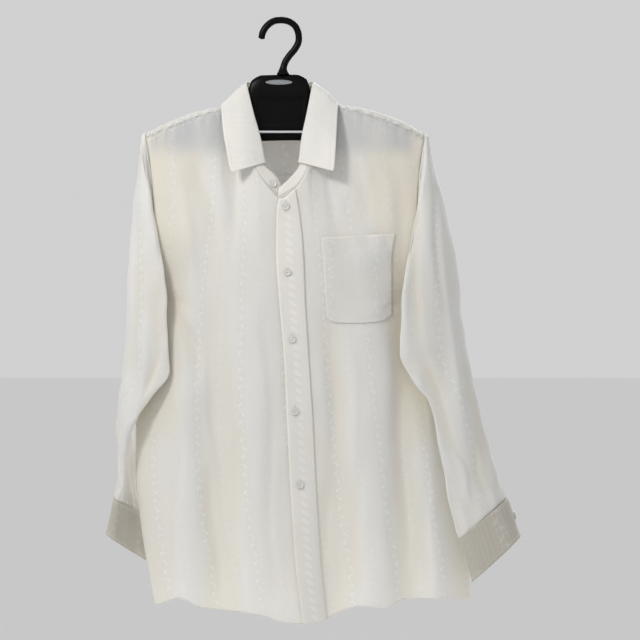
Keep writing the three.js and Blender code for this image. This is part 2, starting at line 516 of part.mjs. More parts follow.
// The hanger
function hangerGeometry() {
  const shape = through(HANGER, 'x');
  const sides = 14;
  const stations = HANGER.map(({ x }) => x);
  const points = [];
  const corners = [];
  stations.forEach((x) => {
    const { top, foot, half } = shape(x);
    range(sides, (i) => {
      const a = (2 * Math.PI * i) / sides;
      const round = (value) => Math.sign(value) * Math.abs(value) ** 0.62;
      points.push(vec(x, half * round(Math.sin(a)), mix(foot, top, (1 + round(Math.cos(a))) / 2)));
    });
  });
  for (let s = 0; s < stations.length - 1; s += 1) {
    for (let i = 0; i < sides; i += 1) {
      const j = (i + 1) % sides;
      const [a, b, c, d] = [s * sides + i, s * sides + j, (s + 1) * sides + j, (s + 1) * sides + i];
      corners.push(a, c, b, a, d, c);
    }
  }
  const last = (stations.length - 1) * sides;
  for (let i = 1; i < sides - 1; i += 1) corners.push(0, i, i + 1, last, last + i + 1, last + i);
  return solid(points, corners);
}

function rod(points, radius, steps) {
  const circle = new THREE.Shape();
  circle.absarc(0, 0, radius, 0, 2 * Math.PI);
  const extrudePath = new THREE.CatmullRomCurve3(points);
  return new THREE.ExtrudeGeometry(circle, { steps, extrudePath, curveSegments: 5, bevelEnabled: false });
}

function plate(halfX, halfZ, depth) {
  const oval = new THREE.Shape();
  oval.absellipse(0, 0, halfX, halfZ, 0, 2 * Math.PI);
  return new THREE.ExtrudeGeometry(oval, { depth, curveSegments: 10, bevelEnabled: false }).rotateX(Math.PI / 2);
}

function buttonGeometry() {
  const { radius, thick } = BUTTON;
  const profile = [[0, 0], [radius - 0.5, 0], [radius, thick - 0.6], [radius - 1, thick], [0, thick - 0.6]];
  const disc = new THREE.LatheGeometry(profile.map(([x, y]) => new THREE.Vector2(x, y)), 12);
  disc.deleteAttribute('normal');
  disc.deleteAttribute('uv');
  return mergeVertices(disc, 1e-4);
}

const garment = new THREE.Group();
const finish = (color, roughness, metalness = 0) => new THREE.MeshStandardMaterial({ color, roughness, metalness });
function add(name, geometry, material) {
  const mesh = new THREE.Mesh(geometry, material);
  mesh.name = name;
  garment.add(mesh);
  return mesh;
}

const cloth = () => finish(0xe6e3da, 0.5);
const cuffCloth = () => finish(0xb9b0a0, 0.55);
const sideSeam = (side) => (p) => p.setY(side * Math.max(side * p.y, SEAM / 2));
add('front_right', wall(frontRightGrid, CLOTH, { keep: sideSeam(-1) }), cloth());
add('front_left', wall(frontLeftGrid, CLOTH, { keep: sideSeam(-1) }), cloth());
add('back', wall(backGrid, CLOTH, { keep: sideSeam(1) }), cloth());
add('yoke', wall(yokeGrid, CLOTH), cloth());
add('placket', wall(placketGrid, BAND), cloth());
add('pocket', wall(pocketGrid(), CLOTH), cloth());
add('collar_stand', wall(standGrid, BAND, { flip: true }), cloth());
add('collar_leaf', wall(leafGrid, BAND, { flip: true }), cloth());
for (const [name, side, table] of [['right', -1, SLEEVE_RIGHT], ['left', 1, SLEEVE_LEFT]]) {
  add(`sleeve_${name}`, wall(sleeveGrid(side, table), CLOTH, { round: true, flip: side < 0 }), cloth());
  add(`cuff_${name}`, wall(cuffGrid(side, table), BAND), cuffCloth());
}

// Buttons sit just proud of the band that they close
const pearl = () => finish(0xd8d6cc, 0.25);
function placeButton(name, point, out) {
  const button = add(name, buttonGeometry(), pearl());
  button.position.copy(point).addScaledVector(out, LAYER);
  button.quaternion.setFromUnitVectors(vec(0, 1, 0), out);
}
FRONT_BUTTONS.forEach(([x, z], i) => {
  const row = crossing(placketGrid.length - 1, (r) => onGrid(placketGrid, r, 1), (p) => p.z - z);
  const column = crossing(2, (c) => onGrid(placketGrid, row, c), (p) => p.x - x);
  placeButton(`button_front_${i + 1}`, onGrid(placketGrid, row, column), normalAt(placketGrid, Math.round(row), 1, false, false));
});
placeButton('button_stand', onGrid(standGrid, 1, 1.9), normalAt(standGrid, 1, 2, false, true));
for (const [name, side, table] of [['right', -1, SLEEVE_RIGHT], ['left', 1, SLEEVE_LEFT]]) {
  const grid = cuffGrid(side, table);
  placeButton(`button_cuff_${name}`, onGrid(grid, 1.5, CUFF.turns - 2), normalAt(grid, 1, CUFF.turns - 2, false, false));
}

// The hanger, its hook, the trouser bar in front of its web and a bare oval plate
const black = () => finish(0x101012, 0.35);
add('hanger_body', hangerGeometry(), black());
add('hanger_hook', rod(HOOK.map(([x, z]) => vec(x, 0, z)), HOOK_ROD, 30), black());
const BAR = { half: 56, y: -13.2, z: -159, radius: 2, root: -9.9 };
const barPoint = (x, y) => vec(x, y, BAR.z);
const barPath = [
  barPoint(-BAR.half, BAR.root), barPoint(-BAR.half + 0.6, BAR.y + 0.6), barPoint(-BAR.half + 4, BAR.y),
  barPoint(0, BAR.y), barPoint(BAR.half - 4, BAR.y), barPoint(BAR.half - 0.6, BAR.y + 0.6), barPoint(BAR.half, BAR.root),
];
add('hanger_bar', rod(barPath, BAR.radius, 24), finish(0xc8c8cc, 0.2, 1));
add('hanger_label', plate(19.5, 3.6, 0.9), finish(0x9aa0a4, 0.5)).position.set(-3.5, -9.1, -86.5);

export default garment;
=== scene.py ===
import math

import bpy
import numpy as np
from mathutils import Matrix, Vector


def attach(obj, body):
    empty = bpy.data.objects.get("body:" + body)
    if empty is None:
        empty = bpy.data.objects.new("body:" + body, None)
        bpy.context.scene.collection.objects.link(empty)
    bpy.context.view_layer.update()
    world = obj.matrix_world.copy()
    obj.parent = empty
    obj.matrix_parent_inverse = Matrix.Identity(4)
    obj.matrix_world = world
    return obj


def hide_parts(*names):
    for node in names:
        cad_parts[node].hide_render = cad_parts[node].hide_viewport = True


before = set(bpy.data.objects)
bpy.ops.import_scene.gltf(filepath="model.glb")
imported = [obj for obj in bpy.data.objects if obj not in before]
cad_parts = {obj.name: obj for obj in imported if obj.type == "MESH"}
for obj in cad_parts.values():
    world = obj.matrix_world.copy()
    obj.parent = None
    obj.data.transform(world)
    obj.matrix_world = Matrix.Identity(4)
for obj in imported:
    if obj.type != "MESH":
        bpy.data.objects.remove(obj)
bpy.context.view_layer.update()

# ---------------------------------------------------------------------------------------------
# The studio. A pale floor under the hanging shirt, a pale sky, a soft lamp from the wearer's
# right that rakes over the folds, a weak one in front, and one behind that shines through the cloth.
FLOOR_Z, FLOOR_REACH = -1.5, 60
CAMERA_AT = (0.0565, -5.2, -0.4336)
FLOOR_COLOUR = (0.90, 0.90, 0.89, 1)
SKY_COLOUR, SKY_STRENGTH = (0.92, 0.92, 0.93, 1), 0.69
LAMPS_AIM = (0.03, 0, -0.45)
LAMPS = (  # name, place, size, power, colour
    ("key_lamp", (-0.95, -1.3, 0.7), 0.45, 17, (1.0, 0.985, 0.96)),
    ("fill_lamp", (0.5, -2.4, 0.3), 1.6, 2, (0.96, 0.98, 1.0)),
    ("back_lamp", (0.6, 2.2, 0.7), 1.6, 38, (1.0, 1.0, 1.0)),
)

camera = bpy.data.objects.new("camera", bpy.data.cameras.new("camera"))
camera.data.sensor_width = 36
camera.data.lens = 200
camera.location = CAMERA_AT
camera.rotation_euler = (math.pi / 2, 0, 0)
bpy.context.collection.objects.link(camera)
bpy.context.scene.camera = camera
bpy.context.scene.view_settings.view_transform = "Standard"

floor_mesh = bpy.data.meshes.new("floor")
corners = [(x * FLOOR_REACH, y * FLOOR_REACH, FLOOR_Z) for x, y in ((-1, -1), (1, -1), (1, 1), (-1, 1))]
floor_mesh.from_pydata(corners, [], [(0, 1, 2, 3)])
floor = bpy.data.objects.new("floor", floor_mesh)
bpy.context.collection.objects.link(floor)
floor_paint = bpy.data.materials.new("floor_paint")
floor_paint.use_nodes = True
paint = floor_paint.node_tree.nodes["Principled BSDF"].inputs
paint["Base Color"].default_value = FLOOR_COLOUR
paint["Roughness"].default_value = 0.8
floor_mesh.materials.append(floor_paint)

sky = bpy.data.worlds.new("sky")
sky.use_nodes = True
backdrop = sky.node_tree.nodes["Background"].inputs
backdrop["Color"].default_value = SKY_COLOUR
backdrop["Strength"].default_value = SKY_STRENGTH
bpy.context.scene.world = sky

for name, place, size, power, colour in LAMPS:
    lamp = bpy.data.objects.new(name, bpy.data.lights.new(name, "AREA"))
    lamp.data.shape = "DISK"
    lamp.data.size = size
    lamp.data.energy = power
    lamp.data.color = colour
    lamp.location = place
    lamp.rotation_euler = (Vector(LAMPS_AIM) - Vector(place)).to_track_quat("-Z", "Y").to_euler()
    bpy.context.collection.objects.link(lamp)


# ---------------------------------------------------------------------------------------------
# The body: two fronts and a back, cut from a light ivory satin with a self-coloured figure in
# columns. They hang from the shoulders round a flat hanger, so their section is a lens; they are
# joined down the sides, hemmed at the foot, and the wearer's left front laps over the right.
CLOTH, BAND = 1.2, 1.7  # the solids' walls, single and doubled; sizes are in mm until a mesh is made
SHEET, DOUBLED = 0.7, 1.0  # the visible cloth, single and doubled, is thinner than its solid
SEAM, LAYER, TURN = 0.45, 0.5, 0.95  # gaps: at a seam, under what lies on the cloth, round an armhole
UNDERARM, HEM_FOOT = -392, -860
BODY_HALF, FIGURE_SHIFT = 228, 42  # half the cloth across, and how far its figure lies to one side
UP = np.array([0.0, 0.0, 1.0])
BODY_ROWS, ARMHOLE_ROWS, YOKE_ROWS = 130, 56, 56
FRONT_STEPS = 6  # columns to each column of the solid
TORSO = (  # z, right, left, front, back
    (-120, -215, 228, -23, 30), (-165, -212, 226, -35, 40), (-200, -208, 224, -43, 45),
    (-256, -205, 221, -51, 50), (-330, -200, 218, -57, 54), (UNDERARM, -198, 216, -60, 56),
    (-450, -203, 222, -61, 58), (-550, -212, 238, -62, 60), (-650, -213, 254, -62, 62),
    (-730, -206, 264, -63, 63), (-790, -196, 275, -64, 64), (-875, -181, 278, -66, 66),
)
HEM = (  # x, z
    (-200, -850), (-182, -849), (-145, -838), (-112, -851), (-30, -860), (0, -870), (30, -873),
    (57, -869), (85, -856), (115, -847), (150, -850), (183, -838), (230, -838), (280, -842),
)
FRONT_FOLDS = (  # top, x, foot, out, width
    (-300, -150, -137, 9, 25), (-330, -108, -80, -9, 26), (-300, -50, -28, 6, 30), (-300, 74, 84, -8, 22),
    (-330, 128, 134, 8, 30), (-280, 165, 190, -7, 20), (-460, 205, 232, 8, 24),
)
BACK_FOLDS = (
    (-300, 150, 175, 8, 28), (-320, 92, 112, -9, 26), (-240, 22, 46, 8, 34), (-280, -50, -40, -8, 26),
    (-300, -110, -112, 9, 28),
)
FRONT_CREASES = (  # from x, z to x, z, height, width
    (-152, -200, -120, -420, 2.0, 11), (-128, -190, -88, -330, -1.6, 9), (-92, -170, -78, -300, 1.2, 8),
    (-160, -395, -110, -520, -2.6, 10), (-176, -410, -140, -600, 2.6, 9), (-118, -430, -96, -700, 1.6, 7),
    (-70, -480, -54, -800, -1.8, 9), (-34, -400, -22, -640, 1.3, 8), (-18, -560, -10, -850, -1.4, 7),
    (-150, -600, -158, -850, -2.2, 8), (-104, -640, -88, -850, -2.2, 8), (-60, -700, -46, -860, 1.6, 7),
    (60, -200, 92, -300, 1.2, 9), (110, -190, 128, -300, -1.4, 10), (150, -200, 168, -330, 1.8, 9),
    (176, -210, 178, -420, -1.8, 8), (60, -450, 66, -640, 1.6, 8), (100, -450, 112, -700, 1.6, 9),
    (150, -440, 160, -640, 1.4, 9), (186, -460, 214, -640, -2.4, 9), (172, -520, 182, -800, -2.2, 8),
    (108, -640, 112, -850, -2.0, 8), (146, -660, 158, -850, 1.8, 9), (208, -620, 214, -840, -1.8, 8),
    (64, -660, 72, -860, -1.5, 7), (-196, -400, -120, -410, -1.4, 9), (206, -400, 130, -420, -1.4, 9),
)
BACK_CREASES = (
    (-150, -260, -120, -480, 2.2, 12), (-120, -270, -70, -520, -2.0, 11), (-40, -240, -20, -520, 1.8, 12),
    (30, -250, 34, -560, -2.0, 11), (80, -250, 76, -480, 1.8, 10), (150, -260, 140, -440, -1.8, 12),
    (186, -400, 120, -500, 2.0, 10), (-180, -400, -110, -490, 2.0, 10), (-150, -560, -146, -840, -2.2, 9),
    (-84, -580, -80, -850, 2.2, 9), (-14, -600, 0, -860, 1.8, 9), (70, -600, 78, -850, 2.0, 9),
    (136, -580, 150, -840, -2.2, 9), (196, -600, 206, -830, 1.8, 9),
)
PLACKET = (  # z, free edge, stitched edge
    (-240, 1, 20), (-281, -6.5, 27), (-332, -7, 32), (-405, -3, 35), (-470, 3, 39), (-579, 8.5, 46),
    (-666, 13, 50), (-789, 21.5, 58), (-873, 32, 67),
)
FRONT_TOP = (  # h, x, y, z
    (-1, -197, -18, -168), (-0.86, -172, -21, -156.5), (-0.6, -118, -20, -136), (-0.44, -84, -15, -126),
    (-0.33, -63, -7, -119.5), (-0.26, -57, -27, -148.5), (-0.19, -47, -41, -186.5), (-0.13, -34, -49, -218.5),
    (-0.06, -15, -50, -244), (0, 0, -50, -257), (0.08, 22, -50, -241.5), (0.14, 37, -49, -218.5),
    (0.2, 46, -41, -186.5), (0.27, 54, -27, -147.5), (0.33, 60, -7, -116.5), (0.44, 83, -15, -123),
    (0.6, 120, -20, -133), (0.86, 180, -21, -154), (1, 208, -18, -169.5),
)
YOKE = (  # u, x, y, z of the seam on the back, then how the cloth leaves the front and the back seam
    (0, -192, 40, -228, 7, 20, -4, 62), (0.16, -150, 43, -225, 8, 23, -6, 78),
    (0.3, -108, 46, -222, 22, 9, -6, 70), (0.38, -72, 49, -221, 10, -14, -2, 45),
    (0.5, 5, 51, -220, 6, -30, 0, 36), (0.62, 82, 49, -221, 10, -14, -2, 45),
    (0.7, 118, 46, -222, 21, 4, -6, 70), (0.84, 160, 43, -225, 8, 23, -6, 78),
    (1, 202, 40, -229, 7, 20, -4, 62),
)


def through(rows):
    """Smooth values between the rows of a table, by its first column, which never overshoot a row."""
    rows = np.array(sorted(rows), float)
    key, values = rows[:, 0], rows[:, 1:]
    step = np.diff(key)
    rise = np.diff(values, axis=0) / step[:, None]
    before, after = rise[:-1], rise[1:]
    turning = before * after <= 0
    slope = np.empty_like(values)
    slope[0], slope[-1] = rise[0], rise[-1]
    slope[1:-1] = np.where(turning, 0, 2 * before * after / np.where(turning, 1, before + after))

    def at(where):
        where = np.asarray(where, float)
        i = np.clip(np.searchsorted(key, where) - 1, 0, len(step) - 1)
        t = np.clip((where - key[i]) / step[i], 0, 1)[..., None]
        ease = t * t * (3 - 2 * t)
        bend = t * (1 - t) ** 2 * slope[i] - t * t * (1 - t) * slope[i + 1]
        return values[i] + (values[i + 1] - values[i]) * ease + step[i][..., None] * bend

    return at


def mix(a, b, t):
    return a + (b - a) * t


def smooth(value, low, high):
    t = np.clip((value - low) / (high - low), 0, 1)
    return t * t * (3 - 2 * t)


def across(h):
    """How far across the cloth h is, from -1 to 1: columns are closer where it turns round the side."""
    return 0.45 * h + 0.55 * np.sin(math.pi * h / 2)


def lens(x):
    """The depth of the body's section across it, full in the middle and 0 at the sides."""
    return (1 - np.minimum(1, np.abs(x)) ** 2.4) ** 0.6


def folds_at(folds, x, z):
    """The large folds, which grow from their top to the hem."""
    out = 0
    for top, start, foot, rise, width in folds:
        down = np.clip((top - z) / (top - HEM_FOOT), 0, 1)
        out = out + rise * np.minimum(1, down * 2.2) * np.exp(-(((x - mix(start, foot, down)) / width) ** 2))
    return out


def creases_at(creases, x, z):
    """Ridges and troughs, steeper on one side and dying out at both ends."""
    out = 0
    for x0, z0, x1, z1, height, width in creases:
        long = math.hypot(x1 - x0, z1 - z0)
        t = ((x - x0) * (x1 - x0) + (z - z0) * (z1 - z0)) / long**2
        off = ((x - x0) * (z1 - z0) - (z - z0) * (x1 - x0)) / long + 3 * np.sin(t * 7 + x0)
        side = np.where(off > 0, 1.5, 0.8) * width
        out = out + 1.5 * height * np.exp(-((off / side) ** 2)) * np.sin(math.pi * np.clip(t, 0, 1)) ** 0.8
    return out


torso, hem, front_top = through(TORSO), through(HEM), through(FRONT_TOP)
yoke_column, placket = through(YOKE), through(PLACKET)


def skirt_point(h, v, side):
    """Below the underarm: h from the wearer's right side to the left, v from the hem to the underarm."""
    guess = torso(mix(-856, UNDERARM, v))
    share = (1 + across(h)) / 2
    z = mix(hem(mix(guess[..., 0], guess[..., 1], share))[..., 0], UNDERARM, v)
    here = torso(z)
    x = mix(here[..., 0], here[..., 1], share)
    bulge = lens(across(h))
    folds = -folds_at(FRONT_FOLDS, x, z) if side == "front" else folds_at(BACK_FOLDS, x, z)
    depth = here[..., 2 if side == "front" else 3]
    return np.stack([x, depth * bulge + folds * np.minimum(1, bulge * 1.6), z], -1)


def bezier(points, t):
    t = np.asarray(t)[..., None]
    if len(points) == 3:
        a, b, c = points
        return a * (1 - t) ** 2 + b * 2 * t * (1 - t) + c * t * t
    a, b, c, d = points
    return a * (1 - t) ** 3 + b * 3 * t * (1 - t) ** 2 + c * 3 * t * t * (1 - t) + d * t**3


def armhole(side, end, w):
    low = skirt_point(np.array(float(end)), np.array(1.0), side)
    high = (front_top(end) if side == "front" else yoke_column((end + 1) / 2))[:3]
    way, tall = (-1, -300) if side == "front" else (1, -330)
    second = low + np.array([end * 3, 0, 5])
    second[1] = way * 46
    return bezier([low, second, np.array([high[0] - end * 26, way * 54, tall]), high], w)


def chest_point(h, w, side):
    """Between the underarm, where w is 0, and the seam on top, where it is 1."""
    s = (h + 1) / 2
    low = skirt_point(h, np.ones_like(h), side)
    high = (front_top(h) if side == "front" else yoke_column(s))[..., :3]
    right, left = armhole(side, -1, w), armhole(side, 1, w)
    feet = [armhole(side, end, 0.0) for end in (-1, 1)]
    tops = [armhole(side, end, 1.0) for end in (-1, 1)]
    edges = zip((right, left), feet, tops)
    risen = mix(*((edge[..., 2] - foot[2]) / (top[2] - foot[2]) for edge, foot, top in edges), s)

    def patch(axis):
        foot, top = (mix(ends[0][axis], ends[1][axis], s) for ends in (feet, tops))
        upright = mix(low[..., axis], high[..., axis], risen)
        return upright + mix(right[..., axis], left[..., axis], s) - mix(foot, top, risen)

    x, z = patch(0), patch(2)
    edge = mix(right[..., 1], left[..., 1], s)
    folds = -folds_at(FRONT_FOLDS, x, z) if side == "front" else folds_at(BACK_FOLDS, x, z)
    opened = smooth(risen, 0, 0.4)
    bulge = lens(across(h)) ** mix(1, 0.7, opened)
    pull = (1 - bulge) * mix(np.abs(h) ** 5, 1, opened)
    depth = torso(z)[..., 2 if side == "front" else 3]
    hung = depth * bulge + edge * pull + folds * np.minimum(1, bulge * 1.6)
    return np.stack([x, mix(hung, high[..., 1], w**3), z], -1)


def torso_point(h, v, side):
    """The body's cloth: v is 0 at the hem, 1 at the underarm and 2 at the seam on top."""
    h, v = np.broadcast_arrays(np.asarray(h, float), np.asarray(v, float))
    low = skirt_point(h, np.minimum(v, 1), side)
    high = chest_point(h, np.maximum(v - 1, 0), side)
    return np.where((v <= 1)[..., None], low, high)


BODY_V = np.concatenate([np.arange(BODY_ROWS) / BODY_ROWS, 1 + np.arange(ARMHOLE_ROWS + 1) / ARMHOLE_ROWS])


def front_across(v, line):
    """Where the front reaches a line x = line(z), on every row."""
    low, high = np.full(v.shape, -0.9), np.full(v.shape, 0.9)
    for _ in range(26):
        h = (low + high) / 2
        p = torso_point(h, v, "front")
        short = p[..., 0] < line(p[..., 2])
        low, high = np.where(short, h, low), np.where(short, high, h)
    return (low + high) / 2


def sewn_edges(h, v, x, z):
    """Small puckers along the seams on top and round the armhole, in mm out of the cloth."""
    top = np.maximum(0, 2 - v) * 215
    side = (1 - np.abs(h)) * 210 + np.where(v < 1, 60, 0)
    waves = np.sin(x * 0.62 + 2.6 * np.sin(x * 0.13) + np.sin(x * 0.37))
    up = 1.1 * np.exp(-top / 5) * waves * smooth(np.abs(h), 0.36, 0.42)
    return up + 0.55 * np.exp(-side / 7) * np.sin(z * 0.6 + 1.5 * np.sin(z * 0.09))


def hung(h, side, way):
    """The cloth of a front or back with its creases; also how high each point of it stands, lowered towards
    the sides for painted shade there.
    """
    v = BODY_V[:, None] * np.ones_like(h)
    face = torso_point(h, v, side)
    x, z = face[..., 0], face[..., 2]
    calm = np.minimum(1, lens(across(h)) * 1.3) * smooth(2 - v, 0, 0.16)
    rise = creases_at(FRONT_CREASES if side == "front" else BACK_CREASES, x, z) * calm
    rise += 0.35 * calm * (np.sin(x * 0.13 + z * 0.021) + np.sin(x * 0.07 - z * 0.05 + 2))
    face[..., 1] += way * (rise + sewn_edges(h, v, x, z))
    folds = folds_at(FRONT_FOLDS if side == "front" else BACK_FOLDS, x, z)
    # painted shade: the rise handed on is lowered where the cloth turns round the side, so the satin is
    # painted creamier there
    turned = 3.4 * np.exp(-(((1 - np.abs(h)) / 0.16) ** 2))
    return face, rise + folds * 0.35 - turned, v


def cloth_of(h, face):
    """Places on the flat cloth, in mm: across it, and along it from the hem up."""
    return across(h) * BODY_HALF - FIGURE_SHIFT, face[..., 2] - 0.08 * np.abs(face[..., 0])


def normals_of(face, closed=False, flip=False):
    """The way out of a grid of points, at each of them."""
    if closed:
        wrapped = np.concatenate([face[:, -1:], face, face[:, :1]], 1)
        along = wrapped[:, 2:] - wrapped[:, :-2]
    else:
        along = np.gradient(face, axis=1)
    out = np.cross(along, np.gradient(face, axis=0))
    out /= np.maximum(np.linalg.norm(out, axis=-1, keepdims=True), 1e-9)
    return -out if flip else out


def piece_of(name, points, faces, node, finish, flat_from=None, facts=None):
    """A mesh in metres that stands for a CAD node; facts are values held at its points."""
    mesh = bpy.data.meshes.new(name)
    mesh.from_pydata((np.asarray(points) / 1000).tolist(), [], faces)
    shade = np.ones(len(mesh.polygons), bool)
    if flat_from is not None:
        shade[flat_from:] = False
    mesh.polygons.foreach_set("use_smooth", shade)
    for fact, values in (facts or {}).items():
        held = mesh.attributes.new(fact, "FLOAT_VECTOR", "POINT")
        held.data.foreach_set("vector", np.ascontiguousarray(values, np.float32).ravel())
    mesh.materials.append(finish)
    made = bpy.data.objects.new(name, mesh)
    bpy.context.collection.objects.link(made)
    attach(made, "root")
    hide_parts(node)
    return made


def cloth_piece(name, face, thickness, cloth, sewn, node, finish, closed=False, flip=False, keep=None):
    """A thin wall of cloth. cloth is (across, along, seen through) and sewn (from a seam, along it, rise that
    sets painted shade).
    """
    rows, columns = face.shape[:2]
    inner = face - normals_of(face, closed, flip) * thickness
    if keep is not None:
        inner = keep(inner)
    outside = np.arange(rows * columns).reshape(rows, columns)
    if closed:
        outside = np.concatenate([outside, outside[:, :1]], 1)
    inside = outside + rows * columns

    def quads(a, b, c, d):
        order = (a, d, c, b) if flip else (a, b, c, d)
        return np.stack([part.ravel() for part in order], 1)

    def rim(out, into):
        return quads(out[1:], out[:-1], into[:-1], into[1:])

    faces = [
        quads(outside[:-1, :-1], outside[:-1, 1:], outside[1:, 1:], outside[1:, :-1]),
        quads(inside[:-1, :-1], inside[1:, :-1], inside[1:, 1:], inside[:-1, 1:]),
        rim(outside[0], inside[0]), rim(outside[-1][::-1], inside[-1][::-1]),
    ]
    if not closed:
        faces += [rim(outside[::-1, 0], inside[::-1, 0]), rim(outside[:, -1], inside[:, -1])]
    smooth_faces = len(faces[0]) + len(faces[1])
    facts = {
        key: np.concatenate([np.stack(np.broadcast_arrays(*value), -1).reshape(-1, 3)] * 2)
        for key, value in (("cloth", cloth), ("sewn", sewn))
    }
    points = np.concatenate([face.reshape(-1, 3), inner.reshape(-1, 3)])
    return piece_of(name, points, np.concatenate(faces).tolist(), node, finish, smooth_faces, facts)


class Value:
    """A shader socket that sums can be written with; each sum adds its Math node."""

    def __init__(self, socket):
        self.socket = socket

    def sum(self, operation, *terms):
        node = self.socket.id_data.nodes.new("ShaderNodeMath")
        node.operation = operation
        for slot, term in zip(node.inputs, terms):
            join(slot, term)
        return Value(node.outputs[0])

    def __add__(self, other):
        return self.sum("ADD", self, other)

    def __sub__(self, other):
        return self.sum("SUBTRACT", self, other)

    def __rsub__(self, other):
        return self.sum("SUBTRACT", other, self)

    def __mul__(self, other):
        return self.sum("MULTIPLY", self, other)

    def __truediv__(self, other):
        return self.sum("DIVIDE", self, other)

    __radd__, __rmul__ = __add__, __mul__

    def of(self, operation, *more):
        """Any other operation of a Math node, such as SINE or FRACT."""
        return self.sum(operation, self, *more)

    def within(self, reach, soft):
        """1 where the value is under reach, falling to 0 over soft."""
        return ((reach + soft - self) / soft).between(0, 1)

    def between(self, low, high):
        return self.of("MAXIMUM", low).of("MINIMUM", high)


def join(socket, term):
    """Links a value to a socket, or sets the socket to a constant."""
    if isinstance(term, Value):
        socket.id_data.links.new(term.socket, socket)
    else:
        socket.default_value = term


class Finish:
    """A material. Constants go on the shader's own sockets; what varies is fed to them."""

    def __init__(self, name, **constants):
        self.material = bpy.data.materials.new(name)
        self.material.use_nodes = True
        self.tree = self.material.node_tree
        self.shader = self.tree.nodes["Principled BSDF"]
        for socket, value in constants.items():
            self.shader.inputs[socket.replace("_", " ")].default_value = value

    def node(self, kind, settings=None, sockets=None):
        node = self.tree.nodes.new("ShaderNode" + kind)
        for setting, value in (settings or {}).items():
            setattr(node, setting, value)
        for socket, value in (sockets or {}).items():
            join(node.inputs[socket], value)
        return node

    def fact(self, name):
        """The three values held at the mesh's points under a name."""
        held = self.node("Attribute", {"attribute_name": name})
        parts = self.node("SeparateXYZ", sockets={"Vector": Value(held.outputs["Vector"])})
        return [Value(out) for out in parts.outputs]

    def place(self):
        coordinates = self.node("TexCoord")
        return Value(coordinates.outputs["Object"])

    def noise(self, scale, detail=2.0, vector=None):
        sockets = {"Scale": scale, "Detail": detail, "Vector": vector or self.place()}
        return Value(self.node("TexNoise", sockets=sockets).outputs["Fac"])

    def tint(self, amount, under, over):
        """From one colour to another; either may be a colour or a value."""
        sockets = {0: amount, 6: under, 7: over}
        return Value(self.node("Mix", {"data_type": "RGBA"}, sockets).outputs[2])

    def layered(self, ground, layers):
        """A ground with more colours over it in turn, each as (amount, colour)."""
        for amount, over in layers:
            ground = self.tint(amount, ground, over)
        return ground

    def bump(self, height, distance, strength=1.0):
        sockets = {"Height": height, "Distance": distance, "Strength": strength}
        return Value(self.node("Bump", sockets=sockets).outputs["Normal"])

    def feed(self, **values):
        for socket, value in values.items():
            join(self.shader.inputs[socket.replace("_", " ")], value)
        return self.material


IVORY = (0.765, 0.755, 0.715, 1)
FIGURE = (0.96, 0.955, 0.935, 1)
CREAM_TONE_AND_SHADE = (0.74, 0.66, 0.51, 1)
SEEN_THROUGH = (0.40, 0.43, 0.47, 1)
THREAD = (0.78, 0.76, 0.70, 1)
BAND_SHADE = (0.50, 0.51, 0.47, 1)
COLUMN_PITCH, MOTIF_PITCH, RIB_PITCH, STITCH = 32.5, 12.6, 4.06, 2.6
SATIN = {  # light passes through it, so the inside of the shirt isn't dark
    "Sheen_Weight": 0.25, "Sheen_Roughness": 0.4, "Specular_IOR_Level": 0.4, "Subsurface_Weight": 0.55,
    "Subsurface_Radius": (1.0, 0.98, 0.93), "Subsurface_Scale": 0.0035,
}


def weave_of(over, up):
    return (over * 9.5).of("SINE") * (up * 9.5).of("SINE")


def stitches_along(seam, run, lines):
    """Stitches at distances from a seam, and the groove that the first line of them pulls."""
    near = (seam - lines[0]).of("ABSOLUTE")
    groove = near.within(0.3, 1.2)
    for line in lines[1:]:
        near = near.of("MINIMUM", (seam - line).of("ABSOLUTE"))
    return near.within(0.22, 0.25) * (run / STITCH).of("FRACT").within(0.72, 0.05), groove


def woven_figure(over, up):
    """Slanted leaves with small buds and a waving vein, in columns; every other column is strong."""
    column, step = over / COLUMN_PITCH, up / MOTIF_PITCH
    off = (column.of("FRACT") - 0.5) * COLUMN_PITCH
    rest = (step.of("FRACT") - 0.5) * MOTIF_PITCH
    strong = (column * 0.5).of("FRACT").within(0.5, 0.001) * 0.6 + 0.4
    slant = (step * 0.5).of("FRACT").within(0.5, 0.001) * 2 - 1
    lean = (off - slant * 1.5) * slant
    long, wide = rest * 0.80 - lean * 0.60, rest * 0.60 + lean * 0.80
    leaf = (long * long / 14 + wide * wide / 2.6).within(0.6, 0.7)
    bud_off, bud_up = off + slant * 3.2, rest - 2.2
    bud = (bud_off * bud_off + bud_up * bud_up).within(0.7, 0.9)
    vein = (off - (step * math.pi).of("SINE") * 1.7).of("ABSOLUTE").within(0.2, 0.35) * 0.4
    return leaf.of("MAXIMUM", bud).of("MAXIMUM", vein) * strong, off.of("ABSOLUTE").within(5.0, 2.5) * strong


